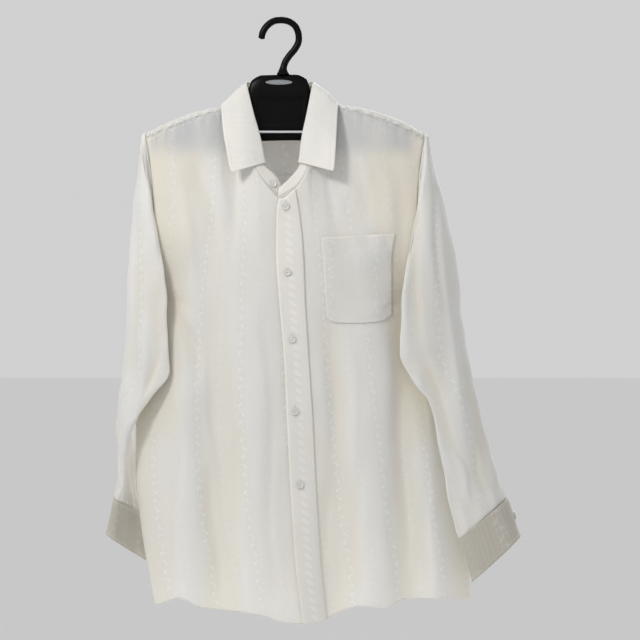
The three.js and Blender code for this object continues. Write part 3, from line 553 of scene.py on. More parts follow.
def figured_satin(name, ground=IVORY, stitch_at=(1.6,), hollow_shade=0.38, shown=0.34, sides=0.0):
    """Ivory satin with a woven figure, fine ribs and stitching, and painted warm shade in its hollows.
    With sides it also has painted warm shade under the arms."""
    finish = Finish(name, **SATIN)
    over, up, through_it = finish.fact("cloth")
    seam, run, rise = finish.fact("sewn")
    figure, band = woven_figure(over, up)
    worn = finish.noise(34.0, 3.0)
    figure = figure * (worn * 0.8 + 0.5).of("MINIMUM", 1)
    rib = (over * (2 * math.pi / RIB_PITCH)).of("SINE") * 0.5 + 0.5
    # painted shade: creamier where the held rise is low, in creases, towards the sides and past a sleeve's
    # ridge; the noise adds a random tone
    painted_shade_and_tone = (0.5 - rise * 0.24 + (finish.noise(9.0) - 0.5) * 0.9).between(0, 1)
    speck = (finish.noise(430.0, 1.0) - 0.52).between(0, 0.1) * 10
    stitches, groove = stitches_along(seam, run, stitch_at)
    layers = [
        (painted_shade_and_tone * hollow_shade, CREAM_TONE_AND_SHADE), (rib * 0.05, FIGURE), (band * 0.10, BAND_SHADE),
        (figure * shown, FIGURE), (speck * band * (shown * 0.5), FIGURE),
    ]
    if sides:
        # painted warm shade down the sides of the body, under the arms, where the sleeves shade it
        outward = 1 - (over + FIGURE_SHIFT).of("ABSOLUTE").within(154, 14)
        under_arm = (up + 395).of("ABSOLUTE").within(180, 70)
        layers.append((outward * under_arm * sides, CREAM_TONE_AND_SHADE))
    layers += [(through_it, SEEN_THROUGH), (stitches * 0.6, THREAD)]
    height = figure * (shown * 0.25) + rib * 0.03 + weave_of(over, up) * 0.02 + worn * 0.25
    return finish.feed(
        Base_Color=finish.layered(ground, layers),
        Roughness=0.56 - figure * 0.20 + worn * 0.08,
        Normal=finish.bump(height + stitches * 0.18 - groove * 0.20, 0.001, 0.9),
    )


def hanger_shadow(x, z):
    """How much of the dark hanger shows through the cloth that lies over it, as painted shade."""
    uneven = 0.78 + 0.22 * np.sin(x * 0.09 + 1.7) * np.sin(x * 0.031)
    inside = smooth(x, -196, -184) * (1 - smooth(x, 184, 200))
    return 0.72 * uneven * inside * smooth(z, -206, -172)


shirt_satin = figured_satin("shirt_satin", stitch_at=(5.0, 1.2), sides=0.44)


def side_seam(way):
    """Holds the inside of a front or back on its own side of the seam down the body's side."""
    def keep(inner):
        inner[..., 1] = way * np.maximum(way * inner[..., 1], SEAM / 2)
        return inner
    return keep


columns = np.arange(15 * FRONT_STEPS + 1) / (15 * FRONT_STEPS)
right_edge = front_across(BODY_V, lambda z: placket(z)[..., 1] - 5)
right_h = mix(-1, right_edge[:, None], columns)
front_right_face, right_rise_and_shade, right_v = hung(right_h, "front", -1)
front_right_face[..., 1] -= SEAM / 2

free_edge = front_across(BODY_V, lambda z: placket(z)[..., 0] + 0.8)[:, None]
stitched = front_across(BODY_V, lambda z: placket(z)[..., 1])[:, None]
lap = np.arange(2 * FRONT_STEPS) / (2 * FRONT_STEPS)
rest = np.arange(13 * FRONT_STEPS + 1) / (13 * FRONT_STEPS)
left_h = np.concatenate([mix(free_edge, stitched, lap), mix(stitched, 1, rest)], 1)
front_left_face, left_rise_and_shade, left_v = hung(left_h, "front", -1)
front_left_face[..., 1] -= SEAM / 2 + (CLOTH + 1.3) * (1 - smooth(left_h, 0.24, 0.5))

back_h = 1 - 2 * np.arange(24 * FRONT_STEPS + 1)[None] / (24 * FRONT_STEPS) * np.ones((len(BODY_V), 1))
back_face, back_rise_and_shade, back_v = hung(back_h, "back", 1)
back_face[..., 1] += SEAM / 2

BODY_PIECES = (  # node, face, h, v, rise with painted shade, way out, flat size, its area, how much the hanger shows
    ("front_right", front_right_face, right_h, right_v, right_rise_and_shade, -1, (0.29, 0.76), 0.17, 0.9),
    ("front_left", front_left_face, left_h, left_v, left_rise_and_shade, -1, (0.29, 0.76), 0.16, 0.9),
    ("back", back_face, back_h, back_v, back_rise_and_shade, 1, (0.54, 0.66), 0.29, 0.25),
)
for node, face, h, v, rise, way, flat, area, seen in BODY_PIECES:
    hem_at = face[0, :, 2][None]
    from_hem = face[..., 2] - hem_at
    from_top = np.maximum(0, face[-1, :, 2][None] - face[..., 2]) + 0.4
    seam_at = np.minimum(from_hem, from_top + np.where(v > 1, 0, 90))
    run_at = across(h) * BODY_HALF
    through_it = hanger_shadow(face[..., 0], face[..., 2]) * seen
    over, up = cloth_of(h, face)
    piece = cloth_piece(
        f"{node}_cloth", face, SHEET, (over, up, through_it), (seam_at, run_at, rise),
        node, shirt_satin, keep=side_seam(way),
    )


# ---------------------------------------------------------------------------------------------
# The yoke: one piece over both shoulders and round the back of the neck. Its front seams are
# puckered where the weight of the shirt hangs on them.
NECK_SHARE = (0.3, 0.7)
YOKE_WIDE, YOKE_DEEP = 420, 120
COLLAR = (  # k, the neck seam, the fold, the leaf's edge
    (0, 3, -46, -256, 4, -42, -240, 0, 0, 0), (1, -15, -48, -243, -8, -42, -220, 0, 0, 0),
    (2, -34, -49, -218, -23, -42, -206, -69.5, -59, -219),
    (3, -47, -41, -186, -31, -34, -170, -79, -51, -187),
    (4, -58, -29, -148, -42, -23, -130, -85, -36, -152), (5, -63, -6, -119, -51, 0, -90, -88, -12, -120),
    (6, -56, 22, -113, -47, 22, -86, -76, 34, -121), (7, -33, 40, -109, -30, 37, -86, -43, 55, -122),
    (8, -2, 46, -107, -2, 42, -85, -2, 62, -122), (9, 29, 40, -109, 26, 37, -86, 39, 55, -121),
    (10, 52, 22, -112, 42, 22, -86, 71, 34, -119), (11, 60, -6, -116, 46, 0, -89, 83, -12, -117),
    (12, 55, -29, -147, 39, -23, -130, 81, -36, -150), (13, 46, -43, -186, 31, -36, -170, 79, -53, -187),
    (14, 37, -51, -218, 26, -45, -206, 75, -62, -218), (15, 22, -52, -241, 11, -48, -226, 0, 0, 0),
    (16, -5, -52, -256, -3, -49, -241, 0, 0, 0),
)
collar = through(COLLAR)


def yoke_start(u):
    """The yoke's front edge: the right front's seam, the neck seam, then the left front's."""
    share = NECK_SHARE[0]
    right = front_top(mix(-1, -0.33, u / share))[..., :3]
    left = front_top(mix(0.33, 1, (u - NECK_SHARE[1]) / share))[..., :3]
    neck = collar(mix(5, 11, (u - share) / (NECK_SHARE[1] - share)))[..., :3]
    over = u[..., None]
    return np.where(over <= share, right, np.where(over >= NECK_SHARE[1], left, neck))


yoke_u = np.linspace(1, 0, 145)
yoke_seam = yoke_start(yoke_u)
yoke_foot = yoke_column(yoke_u)
zero = np.zeros_like(yoke_u)
yoke_share = np.arange(YOKE_ROWS + 1)[:, None] / YOKE_ROWS
yoke_face = bezier(
    [
        yoke_foot[:, :3] + np.array([0, SEAM / 2, SEAM / 2]),
        yoke_foot[:, :3] + np.stack([zero, yoke_foot[:, 5], yoke_foot[:, 6]], 1),
        yoke_seam + np.stack([zero, yoke_foot[:, 3], yoke_foot[:, 4]], 1),
        yoke_seam + np.array([0, TURN, TURN]),
    ],
    yoke_share * np.ones_like(yoke_u),
)
yoke_run = yoke_u[None] * YOKE_WIDE * np.ones_like(yoke_share)
yoke_face[-1] = yoke_seam + np.array([0, 0.5, 0.2])
to_front = (1 - yoke_share) * YOKE_DEEP * np.ones_like(yoke_u)
to_back = yoke_share * YOKE_DEEP * np.ones_like(yoke_u)
shoulder = smooth(np.abs(yoke_u - 0.5), 0.18, 0.24)[None]
yoke_lift = 2.0 * np.exp(-to_front / 14) * np.sin(yoke_run * 0.62 + 2.4 * np.sin(yoke_run * 0.12)) * shoulder
yoke_lift += 0.5 * np.exp(-to_back / 9) * np.sin(yoke_run * 0.5)
yoke_lift *= smooth(to_front, 0, 2) * smooth(to_back, 0, 2)
yoke_face += normals_of(yoke_face) * yoke_lift[..., None]
# over the shoulders the dark hanger shows through the yoke as painted shade
yoke = cloth_piece(
    "yoke_cloth", yoke_face, SHEET, (yoke_run, to_back, 0.16 * shoulder * np.exp(-to_front / 30)),
    (np.minimum(to_front, to_back) + 0.4, yoke_run, yoke_lift * 3), "yoke", shirt_satin,
)


# ---------------------------------------------------------------------------------------------
# The front band: a folded strip of the same satin, fused inside, stitched along both edges of
# the wearer's left front. It carries the buttonholes.
FRONT_BUTTONS = ((6.7, -268.8), (9.3, -364), (16.4, -461), (20.3, -565.5), (27.6, -671.4))
BUTTONHOLE = 7.6  # half its length
SLIT = (0.52, 0.48, 0.40, 1)
PLACKET_WIDE = 27


def banded_satin():
    """The same satin for narrow strips: one row of slanted leaves, and dark slits at the buttonholes."""
    finish = Finish("band_satin", **SATIN)
    over, up, hole = finish.fact("cloth")
    seam, run, _ = finish.fact("sewn")
    leaf_up = ((up / MOTIF_PITCH).of("FRACT") - 0.5) * MOTIF_PITCH
    leaf = (over * over / 9 + leaf_up * leaf_up / 14 + over * leaf_up / 9).within(0.75, 0.6) * 0.4
    worn = finish.noise(40.0, 3.0)
    stitches, groove = stitches_along(seam, run, (2.2,))
    layers = [(worn * 0.2 + 0.08, CREAM_TONE_AND_SHADE), (leaf * 0.6, FIGURE), (stitches * 0.6, THREAD), (hole, SLIT)]
    height = leaf * 0.10 + weave_of(over, up) * 0.02 + stitches * 0.18 - groove * 0.25 + hole * 0.3
    return finish.feed(
        Base_Color=finish.layered(IVORY, layers),
        Roughness=0.55 - leaf * 0.15,
        Normal=finish.bump(height + worn * 0.3, 0.001, 0.9),
    )


def moved_out(face, out):
    return face + normals_of(face) * out


placket_columns = 2 * FRONT_STEPS + 1
placket_face = moved_out(front_left_face[:, :placket_columns], LAYER + BAND)
placket_face[:, 0, 0] -= 0.8
run = placket_face[..., 2]
width = np.linspace(0, PLACKET_WIDE, placket_columns)[None] * np.ones_like(run)
to_edge = np.minimum(width, PLACKET_WIDE - width)
pucker = 0.3 * np.sin(run * 0.5 + 2 * np.sin(run * 0.05)) * np.exp(-to_edge / 4)
placket_face += normals_of(placket_face) * pucker[..., None]
holes = np.zeros_like(run)
for x, z in FRONT_BUTTONS:
    beside = np.abs(placket_face[..., 0] - x - (z - run) * 0.06)
    along = 1 - smooth(np.abs(run - z), BUTTONHOLE - 1, BUTTONHOLE + 1)
    holes = np.maximum(holes, (1 - smooth(beside, 0.4, 2.4)) * along)
band_satin = banded_satin()
placket = cloth_piece(
    "placket_band", placket_face, DOUBLED, (width - PLACKET_WIDE / 2, run, holes * 0.7),
    (to_edge, run, pucker), "placket", band_satin,
)


# ---------------------------------------------------------------------------------------------
# The chest pocket: a patch of the same satin with a wide hem on top and clipped corners below,
# stitched to the wearer's left front, whose folds it follows.
POCKET = {
    "left": ((-310, 58), (-440, 67)), "right": ((-306, 165), (-345, 160), (-440, 160)),
    "top": ((50, -315), (170, -308)),
    "foot": ((66, -431), (76, -437), (112, -438), (146, -435), (160, -425)),
}
POCKET_WIDE, POCKET_TALL, POCKET_HEM = 104, 127, 26
POCKET_BULGES = (  # across, up, reach across, reach up, height
    (70, 96, 26, 16, 3.2), (84, 22, 14, 9, 2.2), (40, 80, 12, 40, -1.2),
)
pocket_line = {edge: through(rows) for edge, rows in POCKET.items()}


def on_face(face, target_x, target_z):
    """Places on the cloth with a wanted x and z, found in steps over its rows and columns; and the way
    out of it there."""
    r = np.full(target_x.shape, 100.0)
    c = np.full(target_x.shape, 40.0)
    for _ in range(30):
        i = np.clip(r.astype(int), 0, face.shape[0] - 2)
        j = np.clip(c.astype(int), 0, face.shape[1] - 2)
        fr, fc = (r - i)[..., None], (c - j)[..., None]
        low = mix(face[i, j], face[i, j + 1], fc)
        high = mix(face[i + 1, j], face[i + 1, j + 1], fc)
        here, up = mix(low, high, fr), high - low
        along = mix(face[i, j + 1] - face[i, j], face[i + 1, j + 1] - face[i + 1, j], fr)
        dx, dz = target_x - here[..., 0], target_z - here[..., 2]
        turn = along[..., 0] * up[..., 2] - along[..., 2] * up[..., 0]
        c = np.clip(c + 0.8 * (dx * up[..., 2] - dz * up[..., 0]) / turn, 1, face.shape[1] - 2)
        r = np.clip(r + 0.8 * (along[..., 0] * dz - along[..., 2] * dx) / turn, 1, face.shape[0] - 2)
    return here, np.cross(along, up) / np.linalg.norm(np.cross(along, up), axis=-1, keepdims=True)


pocket_s, pocket_t = np.meshgrid(np.linspace(0, 1, 61), np.linspace(0, 1, 71))
pocket_x = mix(62.0, 161.0, pocket_s)  # a first guess, which each round brings closer to the outline
for _ in range(4):
    pocket_z = mix(pocket_line["foot"](pocket_x)[..., 0], pocket_line["top"](pocket_x)[..., 0], pocket_t)
    pocket_x = mix(pocket_line["left"](pocket_z)[..., 0], pocket_line["right"](pocket_z)[..., 0], pocket_s)
pocket_face, pocket_out = on_face(front_left_face, pocket_x, pocket_z)
wide, tall = pocket_s * POCKET_WIDE, pocket_t * POCKET_TALL
edge = np.minimum(np.minimum(wide, POCKET_WIDE - wide), tall)
belly = 0
for x, z, reach_x, reach_z, height in POCKET_BULGES:
    belly = belly + height * np.exp(-(((wide - x) / reach_x) ** 2 + ((tall - z) / reach_z) ** 2))
belly += 1.6 * np.sin((wide + tall * 0.4) * 0.16) * smooth(tall, 84, 120) * smooth(wide, 40, 80)
belly = belly * smooth(edge, 0, 9) + 0.4 * np.exp(-edge / 5) * np.sin((wide + tall) * 0.62)
pocket_face = pocket_face + pocket_out * (LAYER + CLOTH + 0.2 + np.maximum(belly, -0.5))[..., None]
from_mouth = np.abs((POCKET_TALL - tall) - POCKET_HEM) + 1.6
pocket_satin = figured_satin("pocket_satin", stitch_at=(1.6,), hollow_shade=0.4)
pocket = cloth_piece(
    "pocket_patch", pocket_face, SHEET, (pocket_x + 9, pocket_z, 0.03),
    (np.minimum(edge, from_mouth), wide + tall, belly), "pocket", pocket_satin,
)


# ---------------------------------------------------------------------------------------------
# The collar: a stand that rises from the neck seam, and a leaf with pointed fronts that turns
# over it. Both are two layers with a stiffener, stitched all round near the edge.
STAND = {"from": -0.22, "to": 0.86, "columns": 200, "rows": 10, "wide": 24, "step": 27}
LEAF = {
    "from": 2, "to": 14, "columns": 170, "rows": 30, "wide": 55, "step": 33,
    "over": BAND + 0.7, "roll": 5.5, "lie": 3, "lip": 1.2,
}
LEAF_GROUND = (0.735, 0.725, 0.69, 1)
LAST_K = COLLAR[-1][0]


def from_edge(wide, width, run, length):
    """How far each point of a strip is from its nearest edge."""
    return np.minimum(np.minimum(wide, width - wide), np.minimum(run, length - run))


stand_k = np.linspace(0, LAST_K, STAND["columns"] + 1)
stand_row = np.linspace(0, 1, STAND["rows"] + 1)[:, None]
line = collar(stand_k)
share = mix(STAND["from"], STAND["to"], stand_row)[..., None]
stand_face = mix(line[None, :, :3], line[None, :, 3:6], share) + np.array([0, 0, SEAM])
tucked = 1 - smooth(share[..., 0], 0.0, 0.12)  # its foot lies inside the fronts and the yoke
stand_face = stand_face - normals_of(stand_face, flip=True) * (2.2 * tucked)[..., None]
stand_wide = stand_row * STAND["wide"] * np.ones_like(stand_k)
stand_run = stand_k * STAND["step"] * np.ones_like(stand_row)
stand_edge = from_edge(stand_wide, STAND["wide"], stand_run, LAST_K * STAND["step"])
stand = cloth_piece(
    "collar_stand_cloth", stand_face, DOUBLED, (stand_wide, stand_run, 0),
    (stand_edge + 0.6, stand_run, 0), "collar_stand", band_satin, flip=True,
)

leaf_k = np.linspace(LEAF["from"], LEAF["to"], LEAF["columns"] + 1)
line = collar(leaf_k)
fold, edge = line[:, 3:6], line[:, 6:9]
along = collar(leaf_k + 0.2)[:, 3:6] - collar(leaf_k - 0.2)[:, 3:6]
rise = fold - edge
out = np.cross(rise, along)
out /= np.linalg.norm(out, axis=1, keepdims=True)
top = fold + out * LEAF["over"] + rise / np.linalg.norm(rise, axis=1, keepdims=True) * LEAF["lip"]
leaf_row = np.linspace(0, 1, LEAF["rows"] + 1)[:, None]
lying, rolled = mix(edge, fold, 0.4) + out * LEAF["lie"], mix(fold, edge, 0.25) + out * LEAF["roll"]
leaf_face = bezier([edge, lying, rolled, top], leaf_row * np.ones_like(leaf_k))
leaf_wide = leaf_row * LEAF["wide"] * np.ones_like(leaf_k)
leaf_run = (leaf_k - LEAF["from"]) * LEAF["step"] * np.ones_like(leaf_row)
leaf_edge = from_edge(leaf_wide, math.inf, leaf_run, (LEAF["to"] - LEAF["from"]) * LEAF["step"])
leaf_lift = 0.25 * np.sin(leaf_run * 0.45 + np.sin(leaf_run * 0.07) * 2) * np.exp(-leaf_wide / 5)
swell = np.exp(-(((leaf_wide - 22) / 10) ** 2)) * np.sin(leaf_run * 0.045 + 1)
leaf_lift += 0.8 * swell * smooth(leaf_edge, 2, 16)
leaf_face -= normals_of(leaf_face) * leaf_lift[..., None]
collar_satin = figured_satin("collar_satin", ground=LEAF_GROUND, stitch_at=(5.0,), hollow_shade=0.2, shown=0.1)
leaf = cloth_piece(
    "collar_leaf_cloth", leaf_face, DOUBLED, (leaf_run * 0.62 + leaf_wide * 0.25, leaf_wide, 0),
    (leaf_edge, leaf_run + leaf_wide, leaf_lift), "collar_leaf", collar_satin, flip=True,
)


# ---------------------------------------------------------------------------------------------
# The sleeves: set into the armholes, which are eased at the shoulder. Each hangs empty, as a
# flattened tube bent round the side of the body, and is pleated into its cuff.
SLEEVES = {  # z, front edge x y, corner x y, back edge x y, half its thickness, slope of a section
    "right": (
        (-420, -165, -58, -240, -42, -208, 52, 8, 0), (-470, -163, -58, -245, -42, -212, 54, 8, 0),
        (-506, -161, -57, -247, -40, -216, 56, 8, 0), (-545, -187, -52, -250, -25, -222, 62, 8, 0),
        (-586, -216, -42, -250, 0, -222, 66, 7.5, 0), (-620, -226, -30, -244, 15, -218, 68, 7, 0),
        (-665, -229, -22, -241, 20, -215, 68, 7, -0.3), (-714, -239, -18, -236, 25, -207, 70, 9, -0.69),
        (-776, -252, -18, -240, 25, -203, 74, 11, -0.79),
    ),
    "left": (
        (-420, 176, -60, 276, -46, 250, 46, 8.5, 0), (-484, 172, -60, 294, -48, 256, 44, 9, 0),
        (-515, 188, -60, 300, -48, 260, 42, 9, 0), (-550, 213, -60, 306, -50, 268, 38, 8.5, 0),
        (-618, 232, -58, 322, -50, 285, 30, 8, 0.1), (-665, 242, -58, 334, -52, 300, 22, 8, 0.4),
        (-706, 258, -60, 336, -52, 314, 22, 10, 0.79), (-765, 276, -62, 352, -54, 332, 22, 12, 0.88),
    ),
}
SLEEVE_CREASES = {  # from x, z to x, z, height, width: on the face to the front, then on the back
    "right": (
        (
            (-211, -180, -224, -470, 2.4, 6), (-221, -200, -236, -480, -2.6, 5),
            (-204, -190, -176, -420, 2.4, 8), (-196, -260, -168, -500, -2.2, 8),
            (-214, -240, -206, -560, -2.0, 9), (-190, -420, -214, -620, 3.2, 9),
            (-176, -470, -208, -580, -2.6, 7), (-222, -420, -230, -700, 2.2, 7),
            (-224, -600, -240, -712, 2.8, 5), (-234, -590, -232, -700, -2.4, 5),
            (-212, -300, -222, -480, 1.6, 8),
        ),
        (
            (-212, -260, -232, -560, 2.4, 10), (-222, -420, -214, -640, -2.4, 9),
            (-230, -560, -216, -700, 2.0, 7),
        ),
    ),
    "left": (
        (
            (208, -190, 226, -430, 3.2, 8), (216, -200, 246, -560, -2.8, 9), (222, -210, 262, -640, 2.6, 9),
            (196, -240, 196, -480, -2.4, 9), (184, -330, 178, -500, 2.0, 8), (190, -500, 246, -660, 3.4, 8),
            (200, -470, 262, -640, -2.6, 8), (240, -420, 282, -660, 2.0, 9), (268, -480, 306, -690, -2.2, 8),
            (250, -620, 278, -702, 2.8, 6), (270, -600, 300, -690, -2.2, 6),
        ),
        (
            (220, -240, 246, -520, 2.4, 10), (240, -420, 262, -640, -2.4, 9),
            (262, -540, 300, -680, 2.0, 8),
        ),
    ),
}
SHADED_RIDGE = ((180, 480, 700), (-212, -224, -238))  # below the hook, and x past which it is in shade
CUFF = {"right": (-713, -776), "left": (-705, -765), "turns": 24, "overlap": 2}
HANG_ROWS, FALL_ROWS = 84, 98
LET_IN = 7  # how far a sleeve runs down inside its cuff
TABLE_TOP = -420  # above it the sleeve runs from the armhole to its first section
HEAD_STEP, FOOT_STEP, TURN_STEP = 2.2, 3.0, 2.05  # from row to row at both ends, and round the sleeve


def section_point(row, angle, extra=0.0):
    """A point of a hanging sleeve's section, from its table row and the turn round it."""
    fx, fy, cx, cy, bx, by, thick, tilt = np.moveaxis(row, -1, 0)
    t = (1 + np.cos(angle)) / 2
    x = bx * (1 - t) ** 2 + cx * 2 * t * (1 - t) + fx * t * t
    y = by * (1 - t) ** 2 + cy * 2 * t * (1 - t) + fy * t * t
    way_x = 2 * ((1 - t) * (cx - bx) + t * (fx - cx))
    way_y = 2 * ((1 - t) * (cy - by) + t * (fy - cy))
    long = np.hypot(way_x, way_y)
    side = np.sign(cx)
    round_it = np.sign(np.sin(angle)) * np.abs(np.sin(angle)) ** 0.7
    out = round_it * (thick + extra) * side
    x, y = x - way_y / long * out, y + way_x / long * out
    return np.stack([x, y, tilt * (x - cx + side * 22)], -1)


def armhole_loop(side):
    """The armhole's edge, from the underarm up the front and down the back, and the way out of it."""
    front = front_right_face if side < 0 else front_left_face[:, ::-1]
    rear = back_face[:, ::-1] if side < 0 else back_face
    over = yoke_face[:, ::-1] if side < 0 else yoke_face
    steps = {"front": FRONT_STEPS, "rear": FRONT_STEPS, "over": 8}

    def edge(face, rows, name):
        out = face[rows, 0] - face[rows, steps[name]]
        return face[rows, 0], out / np.linalg.norm(out, axis=1, keepdims=True)

    parts = [
        edge(front, np.arange(ARMHOLE_ROWS) + BODY_ROWS, "front"),
        edge(over, YOKE_ROWS - np.arange(YOKE_ROWS), "over"),
        edge(rear, BODY_ROWS + ARMHOLE_ROWS - np.arange(ARMHOLE_ROWS), "rear"),
    ]
    place, way = (np.concatenate([part[i] for part in parts]) for i in (0, 1))
    turn = np.minimum(np.arange(len(way)), len(way) - np.arange(len(way)))[:, None]
    way = mix(np.array([side, 0.0, 0.0]), way, np.minimum(1, turn / 7))
    return place, way / np.linalg.norm(way, axis=1, keepdims=True)


def sleeve_face(side, name):
    """A sleeve from its cuff up to its armhole, what is held at its points, and its sections."""
    place, way = armhole_loop(side)
    count = len(place)
    section = through(SLEEVES[name])
    angle = -math.pi / 2 + 2 * math.pi * np.arange(count) / count
    end = section_point(section(TABLE_TOP) * np.ones((count, 1)), angle) + np.array([0, 0, TABLE_TOP])
    start = place + way * TURN
    drop = (start - end)[:, 2:]
    second = start + way * (5 + drop * 0.035) - UP * drop * 0.02
    swing = np.stack([-side * 1.5 * np.maximum(0, np.cos(angle)), -4 * np.cos(angle), drop[:, 0] * 0.45], 1)
    share = (np.linspace(0, 1, HANG_ROWS + 1) ** 1.15)[:, None] * np.ones(count)
    hang = bezier([start, second, end + swing, end], share)
    cuff_top = CUFF[name][0]
    falling = np.linspace(TABLE_TOP, cuff_top - LET_IN, FALL_ROWS + 1)[1:]
    narrower = -2.4 * smooth(-falling, -cuff_top - 4, -cuff_top + 1)[:, None]
    fall = section_point(section(falling)[:, None], angle[None] * np.ones((FALL_ROWS, 1)), narrower)
    fall[..., 2] += falling[:, None]
    face = np.concatenate([hang, fall])[::-1]

    out = normals_of(face, True, side < 0)
    x, z = face[..., 0], face[..., 2]
    row = np.arange(len(face))[:, None]
    turn = np.arange(count)[None] * np.ones((len(face), 1))
    from_cuff, from_head = np.maximum(0, row * FOOT_STEP - LET_IN), row[::-1] * HEAD_STEP
    calm = smooth(from_cuff, 0, 14) * smooth(from_head, 0, 24)
    rise = 0
    for creases, way_out in zip(SLEEVE_CREASES[name], (-out[..., 1], out[..., 1])):
        rise = rise + creases_at(creases, x, z) * smooth(way_out, 0.05, 0.6)
    rise = (rise + 0.4 * (np.sin(z * 0.11 + turn * 0.2) + np.sin(z * 0.047 - turn * 0.13))) * calm
    pleated = np.sin(turn * 2 * math.pi / 10.5 + 2 * np.sin(turn / 15))
    rise += 1.5 * np.exp(-from_cuff / 26) * smooth(from_cuff, 0, 7) * pleated
    shoulder = np.exp(-(((turn - count / 2) / 26) ** 2))
    eased = np.sin(turn * 2 * math.pi / 5.6) * (0.35 + shoulder)
    rise += 0.9 * np.exp(-from_head / 26) * smooth(from_head, 0, 6) * eased
    rise += 6.5 * shoulder * smooth(from_head, 0, 24) * np.exp(-from_head / 80)
    face = face + out * rise[..., None]

    over = (turn - count / 3 - 8) * TURN_STEP
    seam_at = np.minimum(from_cuff, from_head) + 0.4
    ridge = np.interp(-z, *SHADED_RIDGE) if side < 0 else x
    lit = rise - 4.5 * smooth(ridge - x, 1, 7)
    return face, (over, z, 0.0), (seam_at, turn * TURN_STEP, lit), section


sleeve_satin = figured_satin("sleeve_satin", stitch_at=(1.4,), hollow_shade=0.42)
sleeve_sections = {}
for name, side in (("right", -1), ("left", 1)):
    face, cloth, sewn, sleeve_sections[name] = sleeve_face(side, name)
    sleeve = cloth_piece(
        f"sleeve_{name}_cloth", face, SHEET, cloth, sewn, f"sleeve_{name}", sleeve_satin,
        closed=True, flip=side < 0,
    )


# ---------------------------------------------------------------------------------------------
# The cuffs: two stiffened layers, open and overlapped, with the sleeve let in between them.
# They hang turned from the light; their darker, warmer ground is painted shade.
CUFF_SHADED_GROUND = (0.43, 0.41, 0.36, 1)
CUFF_STEPS = 8
cuff_satin_in_shade = figured_satin("cuff_satin_in_shade", ground=CUFF_SHADED_GROUND, stitch_at=(5.0,), hollow_shade=0.12, shown=0.16)
cuff_faces = {}
for name, side in (("right", -1), ("left", 1)):
    high, low = CUFF[name]
    turns = np.arange((CUFF["turns"] + CUFF["overlap"]) * CUFF_STEPS + 1) / CUFF_STEPS
    share = np.linspace(0, 1, 25)[:, None]
    z = mix(low, high, share) * np.ones_like(turns)
    angle = (7 / 12) * math.pi + side * 2 * math.pi * turns / CUFF["turns"] * np.ones_like(share)
    lift = (BAND + LAYER + 0.3) * smooth(turns, CUFF["turns"] - 5, CUFF["turns"] - 0.5)
    lift = lift / np.maximum(0.35, np.abs(np.sin(angle)) ** 0.7)
    row = sleeve_sections[name](z)
    face = mix(section_point(row, angle), section_point(row, angle, 10), (lift / 10)[..., None])
    face[..., 2] += z
    tall = abs(high - low) * share * np.ones_like(turns)
    run = turns * 9.6 * np.ones_like(share)
    edge = from_edge(tall, abs(high - low), run, run.max())
    swell = 0.7 * np.sin(run * 0.07 + tall * 0.06) + 0.5 * np.sin(run * 0.031 - tall * 0.05 + 2)
    face = face + normals_of(face) * (swell * smooth(edge, 0, 10))[..., None]
    cuff_faces[name] = face
    cuff = cloth_piece(
        f"cuff_{name}_cloth", face, DOUBLED, (run, tall, 0), (edge + 0.2, run + tall, swell),
        f"cuff_{name}", cuff_satin_in_shade,
    )


# ---------------------------------------------------------------------------------------------
# The buttons: pressed pearl with four holes, 11.5 mm on the front band and cuffs, sewn on with
# two bars of thread. Each lies just proud of the band that it closes.
BUTTON = {"radius": 5.75, "thick": 2.1, "hole": 0.62, "off": 1.25}
BUTTON_RINGS, BUTTON_SPOKES = 34, 72


def pearl_finish():
    finish = Finish(
        "pearl", Coat_Weight=0.6, Coat_Roughness=0.08, Specular_IOR_Level=0.6, Sheen_Weight=0.0,
    )
    thread, sunk_and_shaded, _ = finish.fact("pearly")
    clouds = finish.noise(240.0, 3.0)
    # the four holes are painted dark brown: painted shade inside them
    layers = [
        (clouds, (0.72, 0.72, 0.69, 1)), (sunk_and_shaded * 0.85, (0.20, 0.17, 0.13, 1)),
        (thread, (0.84, 0.82, 0.76, 1)),
    ]
    return finish.feed(
        Base_Color=finish.layered((0.50, 0.49, 0.44, 1), layers),
        Roughness=0.22 + thread * 0.5 + clouds * 0.1,
        Normal=finish.bump(clouds * 0.12 + thread * 0.1, 0.001, 0.5),
    )


def tube_of(rings, sides):
    """The numbers of the points of rings, each ring closed by its first again, and the quads between."""
    grid = np.arange(rings * sides).reshape(rings, sides)
    grid = np.concatenate([grid, grid[:, :1]], 1)
    quads = np.stack([grid[:-1, :-1], grid[1:, :-1], grid[1:, 1:], grid[:-1, 1:]], -1)
    return grid, quads.reshape(-1, 4)


def fans_of(grid):
    """Triangles from the first and the last ring to a point each, numbered after the rings' points."""
    first, last, free = grid[0].tolist(), grid[-1].tolist(), int(grid.max()) + 1
    fans = [(free, *pair) for pair in zip(first[:-1], first[1:])]
    return fans + [(free + 1, *pair) for pair in zip(last[1:], last[:-1])]


